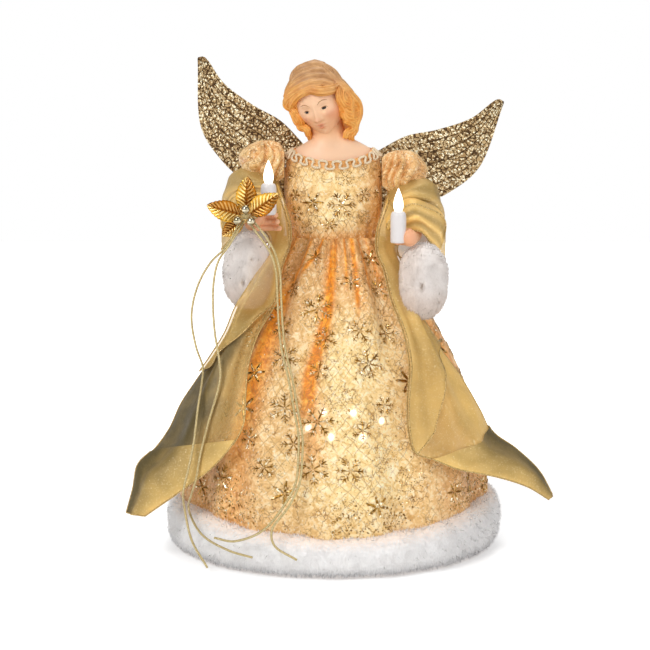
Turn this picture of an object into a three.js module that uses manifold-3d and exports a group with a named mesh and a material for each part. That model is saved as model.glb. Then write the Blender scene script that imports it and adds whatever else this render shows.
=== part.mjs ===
// Angel tree topper: a hollow cone that slips over the tip of a tree carries a dressed doll figure with
// plug-in wings, wired arms that turn at the shoulders, two electric candles
// and a light string behind the skirt.
// Millimetres, +Z up, the cone stands on Z = 0 about the Z axis. The figure faces -Y.
// Left and right are its own.
import * as THREE from "three";
import { mergeVertices } from "three/addons/utils/BufferGeometryUtils.js";
import Module from "manifold-3d";

const wasm = await Module();
wasm.setup();

// Fits
const SEAT = 0.3; // gap between two pieces that rest on each other
const RUNNING_GAP = 0.4; // round a piece that turns or slides in another

// Cone
const CONE_HEIGHT = 250;
const CONE_BASE_RADIUS = 98;
const CONE_TOP_RADIUS = 26;
const CONE_WALL = 1.8;
const CONE_FOOT_WIDTH = 5;
const CONE_FOOT_HEIGHT = 3;

// Torso, shoulder plate and head
const TORSO_HEIGHT = 50;
const WAIST_HALF_WIDTH = 36;
const WAIST_HALF_DEPTH = 27;
const CHEST_HALF_WIDTH = 38;
const CHEST_HALF_DEPTH = 29;
const SHOULDER_RISE = 30; // from the plate's seat to the root of the neck
const SHOULDER_HALF_DEPTH = 21;
const NECK_RADIUS = 10.5;
const NECK_LENGTH = 11;
const HEAD_HALF_WIDTH = 18.5;
const HEAD_HALF_DEPTH = 21;
const HEAD_HALF_HEIGHT = 26;
const HEAD_LEAN = 18; // degrees, crown towards the figure's right
const HEAD_SHIFT = -11; // sideways offset of the head from the body's middle
const HAIR_THICKNESS = 10;
const LOCK_RADIUS = 7;
const LOCK_COUNT = 9;
const LOCK_FALL_RIGHT = 0.72; // the hair is shorter on the side the head leans to
const LOCK_FALL_LEFT = 1;

// Dress
const BODICE_WALL = 1.2;
const BODICE_EASE = 1.1; // slack of the fabric over the form
const BODICE_START = 7; // above the cone's top
const NECKLINE_DROP = 10.5; // from the shoulders down to the front of the neckline
const NECKLINE_TOP = 28.5; // shoulder edge above the plate's seat
const BRAID_RADIUS = 1;
const BRAID_WAVE = 3.2;
const BRAID_WAVES = 22;
const SKIRT_WALL = 1.4;
const HEM_HALF_WIDTH = 131;
const HEM_HALF_DEPTH = 121;
const BELL_FULLNESS = 1.2; // above 1 the bell reaches its full width before the hem
const FOLD_COUNT = 9;
const FOLD_DEPTH = 8;
const FOLD_START = 2; // degrees, a fold valley's place at the waist
const FOLD_SWEEP = 16; // degrees, how far a valley drifts on its way down
const FOLD_SETTLE = 0.4; // share of the fall over which it drifts
const SIDE_FOLD_DEPTH = 5;
const SIDE_FOLD_TURN = -36; // degrees from the front
const SIDE_FOLD_WIDTH = 6.5; // degrees
const RIPPLE_DEPTH = 3;
const RIPPLE_COUNT = 17;
const RIPPLE_LEAN = 7; // radians that the small folds drift from waist to hem
const FUR_THICKNESS = 26;
const FUR_HEIGHT_FRONT = 33;
const FUR_HEIGHT_SIDE = 47;

// Arms
const SHOULDER_FORWARD = 2;
const RIGHT_SHOULDER_UP = 14; // arm pivot above the plate's seat: the right arm is set higher
const LEFT_SHOULDER_UP = 6;
const ARM_WIRE_RADIUS = 1.2;
const ARM_SOCKET_DEPTH = 13;
const PUFF_HALF_WIDTH = 20;
const PUFF_HALF_DEPTH = 20;
const PUFF_HALF_HEIGHT = 17;
const PUFF_PLEATS = 8;
const PUFF_PLEAT_DEPTH = 1.6;
const SLEEVE_WALL = 1.0;
const SLEEVE_RADIUS = 24;
const WRIST_RADIUS = 6;
const CUFF_HALF_WIDTH = 18.5;
const CUFF_HALF_DEPTH = 14.5;
const CUFF_HALF_HEIGHT = 29.5;
const RIGHT_CUFF_OUT = 27; // cuff from its shoulder pivot
const LEFT_CUFF_OUT = 32;
const CUFF_FORWARD = 54;
const CUFF_DOWN = 82;
const DRAPE_WALL = 1.0;
const DRAPE_FOLD = 7;
const DRAPE_BELLY = 0.12; // share of its width that a drape swells between its edges
const GRIP_OUT = 10; // candle's axis from its shoulder pivot
const GRIP_FORWARD = 60;
const RIGHT_GRIP_DOWN = 40;
const LEFT_GRIP_DOWN = 48;
const FIST_OUT = 19;
const FIST_HALF_WIDTH = 8;
const FIST_HALF_DEPTH = 8.5;
const FINGER_PITCH = 5.2;
const FINGER_PRESS = 0.4; // how deep neighbouring fingers press into each other

// Candles
const CANDLE_RADIUS = 6.2;
const CANDLE_HEIGHT = 25;
const RIGHT_CANDLE_UP = 2; // candle foot above the middle of the fist
const LEFT_CANDLE_UP = -4;
const BULB_BASE_RADIUS = 2.6;
const BULB_BASE_LENGTH = 10;
const FLAME_RADIUS = 3.9;
const FLAME_HEIGHT = 18;

// Sprig and its cords
const LEAF_LENGTH = 27;
const LEAF_WIDTH = 15.5;
const LEAF_WALL = 0.8;
const BERRY_RADIUS = 3.4;
const SPRIG_WIRE_RADIUS = 0.8;
const SPRIG_HUB_RADIUS = 2.6;
const SPRIG_OUT = 27; // hub from the right shoulder pivot
const SPRIG_FORWARD = 78;
const SPRIG_DOWN = 38;
const CORD_RADIUS = 0.7;

// Wings
const WING_STALK_RADIUS = 1.5;
const WING_STALK_DEPTH = 14;
const WING_STALK_SPREAD = 13; // stalk's distance from the middle of the back
const WING_STALK_UP = 38; // stalk above the torso's foot
const WING_STANDOFF = 3; // wing's root behind the bodice
const WING_ROOT_THICKNESS = 5;
const WING_EDGE_THICKNESS = 1.4;
const WING_SWEEP = 14; // tip behind the root
const WING_RIBS = 5;
const RIGHT_WING_TURN = 18; // degrees, the right wing stands higher
const LEFT_WING_TURN = 0;

// Light string
const SOCKET_RADIUS = 4.2;
const SOCKET_LENGTH = 13;
const SOCKET_FLANGE = 6;
const SOCKET_FLANGE_HEIGHT = 1.6;
const LAMP_RADIUS = 2.9;
const LAMP_LENGTH = 13;
const LAMP_BASE_RADIUS = 2.2;
const LAMP_BASE_LENGTH = 7;
const LEAD_RADIUS = 1.1;

const WAIST_Z = CONE_HEIGHT + BODICE_START - SEAT - 0.7 * SKIRT_WALL;
const PLATE_Z = CONE_HEIGHT + SEAT + TORSO_HEIGHT;

const V = (x, y, z) => new THREE.Vector3(x, y, z);
const { lerp, degToRad, smoothstep, euclideanModulo } = THREE.MathUtils;

// Solids and sheets

// A closed mesh as a manifold-3d solid, faces turned outwards.
function solid(geometry) {
  const bare = geometry.index ? geometry.toNonIndexed() : geometry.clone();
  bare.deleteAttribute("normal");
  bare.deleteAttribute("uv");
  const merged = mergeVertices(bare, 1e-3);
  const points = merged.attributes.position.array;
  const triVerts = new Uint32Array(outward(points, merged.index.array));
  return new wasm.Manifold(new wasm.Mesh({ numProp: 3, vertProperties: points, triVerts }));
}

// Triangles of a closed body, turned over where they face inwards.
function outward(points, triangles) {
  if (signedVolume(points, triangles) > 0) return triangles;
  return Array.from(triangles, (_, i) => triangles[i % 3 ? i + (i % 3 === 1 ? 1 : -1) : i]);
}

function signedVolume(points, triangles) {
  const [a, b, c] = [V(), V(), V()];
  let sum = 0;
  for (let i = 0; i < triangles.length; i += 3) {
    a.fromArray(points, 3 * triangles[i]);
    b.fromArray(points, 3 * triangles[i + 1]);
    c.fromArray(points, 3 * triangles[i + 2]);
    sum += a.dot(b.cross(c));
  }
  return sum / 6;
}

// The biggest body of a cut solid: a cut may leave crumbs.
function largest(cut) {
  return cut.decompose().sort((a, b) => b.volume() - a.volume())[0];
}

function geometryOf(made) {
  const mesh = made.getMesh();
  const geometry = new THREE.BufferGeometry();
  geometry.setAttribute("position", new THREE.BufferAttribute(new Float32Array(mesh.vertProperties), 3));
  geometry.setIndex(new THREE.BufferAttribute(new Uint32Array(mesh.triVerts), 1));
  geometry.computeVertexNormals();
  return geometry;
}

function indexed(points, triangles) {
  const geometry = new THREE.BufferGeometry().setFromPoints(points);
  geometry.setIndex(outward(geometry.attributes.position.array, triangles));
  return geometry;
}

// A sheet on surface(u, v), thickness(u, v) deep along its normal. closed joins u = 1 to u = 0.
function sheet(surface, thickness, across, along, closed) {
  const columns = closed ? across : across + 1;
  const near = [];
  const far = [];
  const step = 1e-3;
  for (let j = 0; j <= along; j++) {
    for (let i = 0; i < columns; i++) {
      const u = i / across;
      const v = Math.min(Math.max(j / along, step), 1 - step);
      const inside = closed ? u : Math.min(Math.max(u, step), 1 - step);
      const point = surface(u, j / along);
      const du = surface(inside + step, v).sub(surface(inside - step, v));
      const dv = surface(inside, v + step).sub(surface(inside, v - step));
      near.push(point);
      far.push(point.clone().addScaledVector(du.cross(dv).normalize(), thickness(u, j / along)));
    }
  }
  const triangles = [];
  const offset = near.length;
  const quad = (a, b, c, d) => triangles.push(a, b, c, a, c, d);
  for (let j = 0; j < along; j++) {
    for (let i = 0; i < across; i++) {
      const [a, b] = [j * columns + i, j * columns + ((i + 1) % columns)];
      const [c, d] = [b + columns, a + columns];
      quad(offset + a, offset + b, offset + c, offset + d);
      quad(a, d, c, b);
    }
  }
  for (let i = 0; i < across; i++) {
    const [a, b] = [i, (i + 1) % columns];
    const last = along * columns;
    quad(a, b, offset + b, offset + a);
    quad(last + b, last + a, offset + last + a, offset + last + b);
  }
  if (!closed) {
    for (let j = 0; j < along; j++) {
      const [a, d] = [j * columns, (j + 1) * columns];
      quad(d, a, offset + a, offset + d);
      quad(a + across, d + across, offset + d + across, offset + a + across);
    }
  }
  return indexed([...near, ...far], triangles);
}

// Rings of equal point counts joined into a closed body with flat ends.
function loft(rings) {
  const count = rings[0].length;
  const points = rings.flat();
  const triangles = [];
  for (let j = 0; j + 1 < rings.length; j++) {
    for (let i = 0; i < count; i++) {
      const [a, b] = [j * count + i, j * count + ((i + 1) % count)];
      triangles.push(a, b, b + count, a, b + count, a + count);
    }
  }
  for (const [ring, first] of [[rings[0], 0], [rings.at(-1), (rings.length - 1) * count]]) {
    const middle = points.push(ring.reduce((sum, p) => sum.add(p), V(0, 0, 0)).divideScalar(count)) - 1;
    for (let i = 0; i < count; i++) {
      const next = first + ((i + 1) % count);
      triangles.push(...(first ? [first + i, next, middle] : [next, first + i, middle]));
    }
  }
  return indexed(points, triangles);
}

function ellipseRing(centre, halfWidth, halfDepth, sides) {
  return Array.from({ length: sides }, (_, i) => {
    const angle = (2 * Math.PI * i) / sides;
    return V(centre.x + halfWidth * Math.sin(angle), centre.y - halfDepth * Math.cos(angle), centre.z);
  });
}

// A round section swept along a smooth curve through the points.
function tube(points, radius, steps, sides) {
  const section = new THREE.Shape(
    Array.from({ length: sides }, (_, i) => {
      const angle = (2 * Math.PI * i) / sides;
      return new THREE.Vector2(radius * Math.cos(angle), radius * Math.sin(angle));
    }),
  );
  const path = new THREE.CatmullRomCurve3(points, false, "centripetal");
  return new THREE.ExtrudeGeometry(section, { steps, extrudePath: path });
}

// A tube whose radius follows radiusAt(0 to 1), as a lock of hair or a finger.
function taperedTube(points, radiusAt, steps, sides) {
  const path = new THREE.CatmullRomCurve3(points, false, "centripetal");
  const { normals, binormals } = path.computeFrenetFrames(steps, false);
  const rings = [];
  for (let j = 0; j <= steps; j++) {
    const centre = path.getPointAt(j / steps);
    const radius = radiusAt(j / steps);
    rings.push(
      Array.from({ length: sides }, (_, i) => {
        const angle = (2 * Math.PI * i) / sides;
        const side = normals[j].clone().multiplyScalar(Math.cos(angle));
        return centre.clone().addScaledVector(side.addScaledVector(binormals[j], Math.sin(angle)), radius);
      }),
    );
  }
  return loft(rings);
}

function ellipsoid(centre, halfWidth, halfDepth, halfHeight, columns, rows) {
  const geometry = new THREE.SphereGeometry(1, columns, rows);
  geometry.rotateX(Math.PI / 2);
  return geometry.scale(halfWidth, halfDepth, halfHeight).translate(centre.x, centre.y, centre.z);
}

function cylinderAlong(start, end, radius, sides) {
  const way = end.clone().sub(start);
  const geometry = new THREE.CylinderGeometry(radius, radius, way.length(), sides);
  const turn = new THREE.Quaternion().setFromUnitVectors(V(0, 1, 0), way.clone().normalize());
  const middle = start.clone().addScaledVector(way, 0.5);
  return geometry.applyQuaternion(turn).translate(middle.x, middle.y, middle.z);
}

// A turned profile of [radius, height] pairs about +Z.
function turned(profile, sides) {
  const geometry = new THREE.LatheGeometry(profile.map(([r, z]) => new THREE.Vector2(r, z)), sides);
  return geometry.rotateX(Math.PI / 2);
}

// Materials
function finish(color, roughness, metalness) {
  return new THREE.MeshStandardMaterial({ color, roughness, metalness });
}

const SKIN = finish(0xf3c7a2, 0.55, 0);
const DRESS = finish(0xf0d3a0, 0.6, 0.1);
const ORGANZA = finish(0xb79a55, 0.5, 0.25);
const FUR = finish(0xf2eeea, 0.95, 0);
const GOLD_FOIL = finish(0xe0b040, 0.22, 0.9);
const ANTIQUE_GOLD = finish(0x9a8350, 0.42, 0.6);
const CORD_GOLD = finish(0xc9b87c, 0.4, 0.5);
const WHITE_PLASTIC = finish(0xf7f5f2, 0.4, 0);
const LAMP_GLASS = finish(0xfff1cc, 0.15, 0);
const FORM_PLASTIC = finish(0xe8e2d4, 0.6, 0);
const WIRE = finish(0x9c9c98, 0.4, 0.9);
const LEAD = finish(0xf2efe6, 0.5, 0);

const topper = new THREE.Group();

function add(name, geometry, material, parent = topper) {
  const mesh = new THREE.Mesh(geometry, material);
  mesh.name = name;
  parent.add(mesh);
  return mesh;
}

// Cone: a moulded shell with a flat foot ring, closed at the top, pierced for the light string's sockets

const LIGHTS = [
  { turn: -21, up: 118 },
  { turn: -8, up: 133 },
  { turn: -3, up: 102 },
  { turn: 12, up: 131 },
  { turn: 17, up: 104 },
  { turn: 36, up: 119 },
];

const coneRadius = (z) => lerp(CONE_BASE_RADIUS, CONE_TOP_RADIUS, z / CONE_HEIGHT);

// Each light sits square to the cone's wall: its place on the wall and the way out.
function lightSeat({ turn, up }) {
  const angle = degToRad(turn);
  const outward = V(Math.sin(angle), -Math.cos(angle), 0);
  const slope = Math.atan2(CONE_BASE_RADIUS - CONE_TOP_RADIUS, CONE_HEIGHT);
  const way = outward.clone().multiplyScalar(Math.cos(slope)).setZ(Math.sin(slope));
  const place = outward.clone().multiplyScalar(coneRadius(up)).setZ(up);
  return { place, way };
}

function cone() {
  const sides = 36;
  const footRadius = coneRadius(CONE_FOOT_HEIGHT) + CONE_FOOT_WIDTH;
  const shell = turned(
    [
      [CONE_BASE_RADIUS - CONE_WALL, 0],
      [footRadius, 0],
      [footRadius, CONE_FOOT_HEIGHT],
      [coneRadius(CONE_FOOT_HEIGHT), CONE_FOOT_HEIGHT],
      [CONE_TOP_RADIUS, CONE_HEIGHT],
      [0, CONE_HEIGHT],
      [0, CONE_HEIGHT - CONE_WALL],
      [CONE_TOP_RADIUS - CONE_WALL, CONE_HEIGHT - CONE_WALL],
      [CONE_BASE_RADIUS - CONE_WALL, 0],
    ],
    sides,
  );
  let made = solid(shell);
  for (const light of LIGHTS) {
    const { place, way } = lightSeat(light);
    const reach = way.clone().multiplyScalar(4 * CONE_WALL);
    const hole = cylinderAlong(place.clone().sub(reach), place.clone().add(reach), SOCKET_RADIUS + SEAT, 10);
    made = made.subtract(solid(hole));
  }
  return geometryOf(made);
}

// Light string: push-in sockets through the cone's wall, a lamp in each, joined by one lead inside the cone

const SOCKET_OUT = SOCKET_FLANGE_HEIGHT + 2 * SEAT; // socket mouth above the wall

function socketProfile() {
  const bore = LAMP_BASE_RADIUS + SEAT;
  return [
    [0, -SOCKET_LENGTH],
    [SOCKET_RADIUS, -SOCKET_LENGTH],
    [SOCKET_RADIUS, 2 * SEAT],
    [SOCKET_FLANGE, 2 * SEAT],
    [SOCKET_FLANGE, SOCKET_OUT],
    [bore, SOCKET_OUT],
    [bore, SOCKET_OUT - LAMP_BASE_LENGTH - SEAT],
    [0, SOCKET_OUT - LAMP_BASE_LENGTH - SEAT],
  ];
}

function lampProfile() {
  const seat = SOCKET_OUT + SEAT;
  return [
    [0, SOCKET_OUT - LAMP_BASE_LENGTH],
    [LAMP_BASE_RADIUS, SOCKET_OUT - LAMP_BASE_LENGTH],
    [LAMP_BASE_RADIUS, seat],
    [LAMP_RADIUS, seat],
    [LAMP_RADIUS, seat + 0.6 * LAMP_LENGTH],
    [0.6 * LAMP_RADIUS, seat + 0.9 * LAMP_LENGTH],
    [0, seat + LAMP_LENGTH],
  ];
}

function lightString() {
  const tails = [];
  LIGHTS.forEach((light, i) => {
    const { place, way } = lightSeat(light);
    const seat = new THREE.Group();
    seat.position.copy(place);
    seat.quaternion.setFromUnitVectors(V(0, 0, 1), way);
    topper.add(seat);
    add(`light_socket_${i + 1}`, turned(socketProfile(), 8), WHITE_PLASTIC, seat);
    add(`light_lamp_${i + 1}`, turned(lampProfile(), 6), LAMP_GLASS, seat);
    tails.push(place.clone().addScaledVector(way, -(SOCKET_LENGTH + SEAT + LEAD_RADIUS)));
  });
  const order = [0, 1, 3, 5, 4, 2];
  add("light_string_lead", tube(order.map((i) => tails[i]), LEAD_RADIUS, 15, 6), LEAD);
}

// Torso form and shoulder plate share one outline: half width and half depth at each height

const BODY_SIDES = 24;

function bodySection(z) {
  const top = PLATE_Z - SEAT;
  const stations = [
    [CONE_HEIGHT, WAIST_HALF_WIDTH, WAIST_HALF_DEPTH],
    [lerp(CONE_HEIGHT, top, 0.6), CHEST_HALF_WIDTH, CHEST_HALF_DEPTH],
    [top + 0.35 * SHOULDER_RISE, CHEST_HALF_WIDTH - 1, SHOULDER_HALF_DEPTH],
    [top + 0.75 * SHOULDER_RISE, 0.94 * CHEST_HALF_WIDTH, 0.86 * SHOULDER_HALF_DEPTH],
    [top + SHOULDER_RISE, 0.74 * CHEST_HALF_WIDTH, 0.68 * SHOULDER_HALF_DEPTH],
    [top + 1.15 * SHOULDER_RISE, 0.42 * CHEST_HALF_WIDTH, 0.58 * SHOULDER_HALF_DEPTH],
    [top + 1.35 * SHOULDER_RISE, NECK_RADIUS, NECK_RADIUS],
  ];
  const found = stations.findIndex(([level]) => level >= z);
  const after = found < 0 ? stations.length - 1 : Math.max(1, found);
  const [low, high] = [stations[after - 1], stations[after]];
  const share = Math.min(1, Math.max(0, (z - low[0]) / (high[0] - low[0])));
  const eased = smoothstep(share, 0, 1) * 0.5 + share * 0.5;
  return { halfWidth: lerp(low[1], high[1], eased), halfDepth: lerp(low[2], high[2], eased) };
}

// A point on the body's outline, turn in degrees from the front, held clear of it.
function bodyPoint(turn, z, clear) {
  const { halfWidth, halfDepth } = bodySection(z);
  const angle = degToRad(turn);
  return V((halfWidth + clear) * Math.sin(angle), -(halfDepth + clear) * Math.cos(angle), z);
}

function bodyNormal(turn, z) {
  const around = bodyPoint(turn + 1, z, 0).sub(bodyPoint(turn - 1, z, 0));
  const up = bodyPoint(turn, z + 1, 0).sub(bodyPoint(turn, z - 1, 0));
  return around.cross(up).normalize();
}

function bodyLoft(from, to, rows) {
  const rings = Array.from({ length: rows + 1 }, (_, j) => {
    const z = lerp(from, to, j / rows);
    const { halfWidth, halfDepth } = bodySection(z);
    return ellipseRing(V(0, 0, z), halfWidth, halfDepth, BODY_SIDES);
  });
  return solid(loft(rings));
}

function shoulderPivot(side) {
  const up = side < 0 ? RIGHT_SHOULDER_UP : LEFT_SHOULDER_UP;
  const x = side * (CHEST_HALF_WIDTH + SEAT + BODICE_EASE + BODICE_WALL + RUNNING_GAP);
  return V(x, -SHOULDER_FORWARD, PLATE_Z + up);
}

function wingPivot(side) {
  const z = CONE_HEIGHT + SEAT + WING_STALK_UP;
  const { halfDepth } = bodySection(z);
  return V(side * WING_STALK_SPREAD, halfDepth + SEAT + BODICE_EASE + BODICE_WALL + WING_STANDOFF, z);
}

// Holes through the bodice and into the torso for the arm wires and wing stalks.
function stalkHoles() {
  const holes = [];
  for (const side of [-1, 1]) {
    const arm = shoulderPivot(side);
    const inner = arm.clone().setX(arm.x - side * (ARM_SOCKET_DEPTH + SEAT));
    const outer = arm.clone().setX(arm.x + side * ARM_SOCKET_DEPTH);
    holes.push(cylinderAlong(inner, outer, ARM_WIRE_RADIUS + RUNNING_GAP, 10));
    const wing = wingPivot(side);
    const back = wing.clone().setY(wing.y + WING_STALK_DEPTH);
    const front = wing.clone().setY(wing.y - WING_STALK_DEPTH - SEAT);
    holes.push(cylinderAlong(front, back, WING_STALK_RADIUS + RUNNING_GAP, 10));
  }
  return holes.map(solid);
}

const drilled = (made, holes) => holes.reduce((rest, hole) => rest.subtract(hole), made);

function torsoForm(holes) {
  return geometryOf(drilled(bodyLoft(CONE_HEIGHT + SEAT, PLATE_Z - SEAT, 6), holes));
}

// Head: skull, nose and chin, with moulded hair as a cap and waved locks, leaning to one side
function head() {
  const centre = V(0, 0, 0);
  const features = [
    ellipsoid(V(0, -0.88 * HEAD_HALF_DEPTH, -0.2 * HEAD_HALF_HEIGHT), 2.2, 5, 5, 6, 4),
    ellipsoid(V(0, -0.62 * HEAD_HALF_DEPTH, -0.72 * HEAD_HALF_HEIGHT), 6.5, 6, 6, 8, 5),
    ellipsoid(V(-0.5, 0.28 * HEAD_HALF_DEPTH, 0.32 * HEAD_HALF_HEIGHT), HEAD_HALF_WIDTH + HAIR_THICKNESS,
      HEAD_HALF_DEPTH + 0.6 * HAIR_THICKNESS, 0.88 * HEAD_HALF_HEIGHT, 12, 8),
  ];
  let made = solid(ellipsoid(centre, HEAD_HALF_WIDTH, HEAD_HALF_DEPTH, HEAD_HALF_HEIGHT, 14, 9));
  for (const feature of features) made = made.add(solid(feature));
  for (let i = 0; i < LOCK_COUNT; i++) {
    made = made.add(solid(hairLock(lerp(-138, 138, i / (LOCK_COUNT - 1)))));
  }
  return made;
}

// One lock from the parting down past the ear, turn in degrees from the back of the head.
function hairLock(turn) {
  const angle = degToRad(turn);
  const fallen = turn < 0 ? LOCK_FALL_RIGHT : LOCK_FALL_LEFT;
  const reach = Math.abs(turn) > 120 ? 0.6 : fallen; // the locks over the brow stay short
  const points = [0.15, 0.4, 0.65, 0.9, 1.15].map((fall, k) => {
    const polar = fall * reach * degToRad(112);
    const wave = (k % 2 ? 1 : -1) * 0.1;
    const wide = HEAD_HALF_WIDTH + HAIR_THICKNESS;
    const deep = HEAD_HALF_DEPTH + 0.45 * HAIR_THICKNESS;
    return V(
      wide * Math.sin(polar) * Math.sin(angle + wave),
      0.2 * HEAD_HALF_DEPTH + deep * Math.sin(polar) * Math.cos(angle + wave),
      HEAD_HALF_HEIGHT * (0.22 + Math.cos(polar) * (polar < Math.PI / 2 ? 1.02 : 1.9)),
    );
  });
  const swell = (s) => 0.55 + 0.45 * Math.sin(Math.PI * Math.min(s + 0.2, 1));
  return taperedTube(points, (s) => LOCK_RADIUS * swell(s), 5, 5);
}

// Shoulder plate with the neck and head in one moulding.
function bust(holes) {
  const neckZ = PLATE_Z + 1.35 * SHOULDER_RISE;
  const headZ = neckZ + NECK_LENGTH - NECK_RADIUS + 0.75 * HEAD_HALF_HEIGHT;
  const headCentre = V(HEAD_SHIFT, -SHOULDER_FORWARD - 5, headZ);
  const neckTop = headCentre.clone().add(V(0, 4, -0.4 * HEAD_HALF_HEIGHT));
  const neckPath = [V(0, 0, neckZ - 8), V(0.2 * HEAD_SHIFT, 0, neckZ), neckTop];
  const neck = taperedTube(neckPath, () => NECK_RADIUS, 5, 14);
  const leaned = head().rotate([0, -HEAD_LEAN, 0]).translate([headCentre.x, headCentre.y, headCentre.z]);
  const plate = bodyLoft(PLATE_Z, neckZ, 8);
  return geometryOf(drilled(plate.add(solid(neck)).add(leaned), holes));
}

// Bodice: a fitted fabric shell from the waist to a scooped neckline, with holes at the arms and wing stalks
const necklineZ = (turn) => PLATE_Z + NECKLINE_TOP - NECKLINE_DROP * (1 - neckRise(turn));

function neckRise(turn) {
  const around = Math.min(Math.abs(turn), 360 - Math.abs(turn));
  return Math.sin(degToRad(Math.min(around, 90))) ** 2;
}

function bodice(holes) {
  const surface = (u, v) => {
    const turn = 360 * u;
    return bodyPoint(turn, lerp(CONE_HEIGHT + BODICE_START, necklineZ(turn), v), SEAT + BODICE_EASE);
  };
  return geometryOf(drilled(solid(sheet(surface, () => BODICE_WALL, BODY_SIDES, 11, true)), holes));
}

// Braid: one cord sewn in a wave along the neckline
function necklineBraid() {
  const points = [];
  const perWave = 4;
  const lift = BODICE_WALL + 2 * SEAT + BRAID_RADIUS;
  for (let i = 0; i <= BRAID_WAVES * perWave; i++) {
    const share = i / (BRAID_WAVES * perWave);
    const turn = 2 + 356 * share;
    const wave = BRAID_WAVE * (Math.sin((2 * Math.PI * i) / perWave) - 1);
    const z = necklineZ(turn) - BRAID_RADIUS + wave;
    points.push(bodyPoint(turn, z, SEAT + BODICE_EASE).addScaledVector(bodyNormal(turn, z), lift));
  }
  return tube(points, BRAID_RADIUS, BRAID_WAVES * perWave, 4);
}

// Skirt: gathered at the waist, bell shaped, with fold valleys that drift sideways on their way down,
// one more fold at the side and small folds between them

// Share of the way from waist to hem, 0 to 1, as the bell widens.
const skirtFall = (z) => Math.min(1, Math.max(0, (WAIST_Z - z) / WAIST_Z));

function skirtPoint(turn, z, clear, folded = false) {
  const fall = skirtFall(z);
  const bell = Math.sin((Math.min(1, BELL_FULLNESS * fall) * Math.PI) / 2);
  const angle = degToRad(turn);
  const fold = folded ? foldDepth(turn, fall) : 0;
  const waist = SEAT + BODICE_EASE + SKIRT_WALL + foldDepth(FOLD_START, 0);
  const halfWidth = lerp(WAIST_HALF_WIDTH + waist, HEM_HALF_WIDTH, bell) + clear - fold;
  const halfDepth = lerp(WAIST_HALF_DEPTH + waist, HEM_HALF_DEPTH, bell) + clear - fold;
  return V(halfWidth * Math.sin(angle), -halfDepth * Math.cos(angle), z);
}

function foldDepth(turn, fall) {
  const drift = FOLD_SWEEP * Math.min(1, fall / FOLD_SETTLE);
  const phase = degToRad(FOLD_COUNT * (turn - FOLD_START + drift));
  const valley = (0.5 + 0.5 * Math.cos(phase)) ** 2;
  const main = FOLD_DEPTH * valley * Math.sin(Math.PI * (0.04 + 0.84 * fall));
  const fromSide = euclideanModulo(turn - SIDE_FOLD_TURN + 180, 360) - 180;
  const side = SIDE_FOLD_DEPTH * Math.exp(-((fromSide / SIDE_FOLD_WIDTH) ** 2));
  const ripple = RIPPLE_DEPTH * (0.5 + 0.5 * Math.sin(RIPPLE_COUNT * degToRad(turn) - RIPPLE_LEAN * fall));
  return main + (side + ripple) * Math.sin(Math.PI * fall);
}

const furTop = (turn) => lerp(FUR_HEIGHT_FRONT, FUR_HEIGHT_SIDE, Math.sin(degToRad(turn)) ** 2);

function skirt() {
  const surface = (u, v) => {
    const turn = 360 * u;
    return skirtPoint(turn, lerp(WAIST_Z, furTop(turn) + SEAT, v), -SKIRT_WALL, true);
  };
  return sheet(surface, () => -SKIRT_WALL, 8 * FOLD_COUNT, 6, true);
}

// Fur hem: a soft ring under the skirt's edge, flat where it stands, its section as shares [out, up]
const FUR_SECTION = [
  [-0.3, 0], [0.28, 0], [0.46, 0.22], [0.5, 0.5], [0.38, 0.84], [0, 1], [-0.38, 0.84], [-0.5, 0.5],
  [-0.46, 0.22],
];

function hemFur() {
  const sides = 40;
  const rings = [];
  for (let i = 0; i < sides; i++) {
    const turn = (360 * i) / sides;
    const angle = degToRad(turn);
    const height = furTop(turn);
    const middle = -FUR_THICKNESS / 9;
    const ring = [];
    for (const [out, up] of FUR_SECTION) {
      const clear = middle + out * FUR_THICKNESS;
      const halfWidth = HEM_HALF_WIDTH + clear;
      const halfDepth = HEM_HALF_DEPTH + clear;
      ring.push(V(halfWidth * Math.sin(angle), -halfDepth * Math.cos(angle), up * height));
    }
    rings.push(ring);
  }
  const count = rings[0].length;
  const triangles = [];
  for (let j = 0; j < sides; j++) {
    for (let i = 0; i < count; i++) {
      const [a, b] = [j * count + i, j * count + ((i + 1) % count)];
      const [c, d] = [((j + 1) % sides) * count + ((i + 1) % count), ((j + 1) % sides) * count + i];
      triangles.push(a, b, c, a, c, d);
    }
  }
  return indexed(rings.flat(), triangles);
}

// Arms. A point on an arm is given from its shoulder pivot: outward, forward and up

function armPoint(side, outward, forward, up) {
  return shoulderPivot(side).add(V(side * outward, -forward, up));
}

function armWire(side) {
  const straight = [-ARM_SOCKET_DEPTH, -0.5 * ARM_SOCKET_DEPTH, 0].map((out) => armPoint(side, out, 0, 0));
  return tube([...straight, ...armBend(side)], ARM_WIRE_RADIUS, 16, 8);
}

// The wire's way from the shoulder round the elbow to the back of the forearm.
function armBend(side) {
  const end = forearmPath(side)[0].add(V(0, 2 * SEAT, 0));
  const wrist = end.clone().add(V(0, 6, 1));
  return [armPoint(side, 5, 0, 0), armPoint(side, 20, 5, -14), armPoint(side, 28, 11, -34), wrist, end];
}

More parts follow.
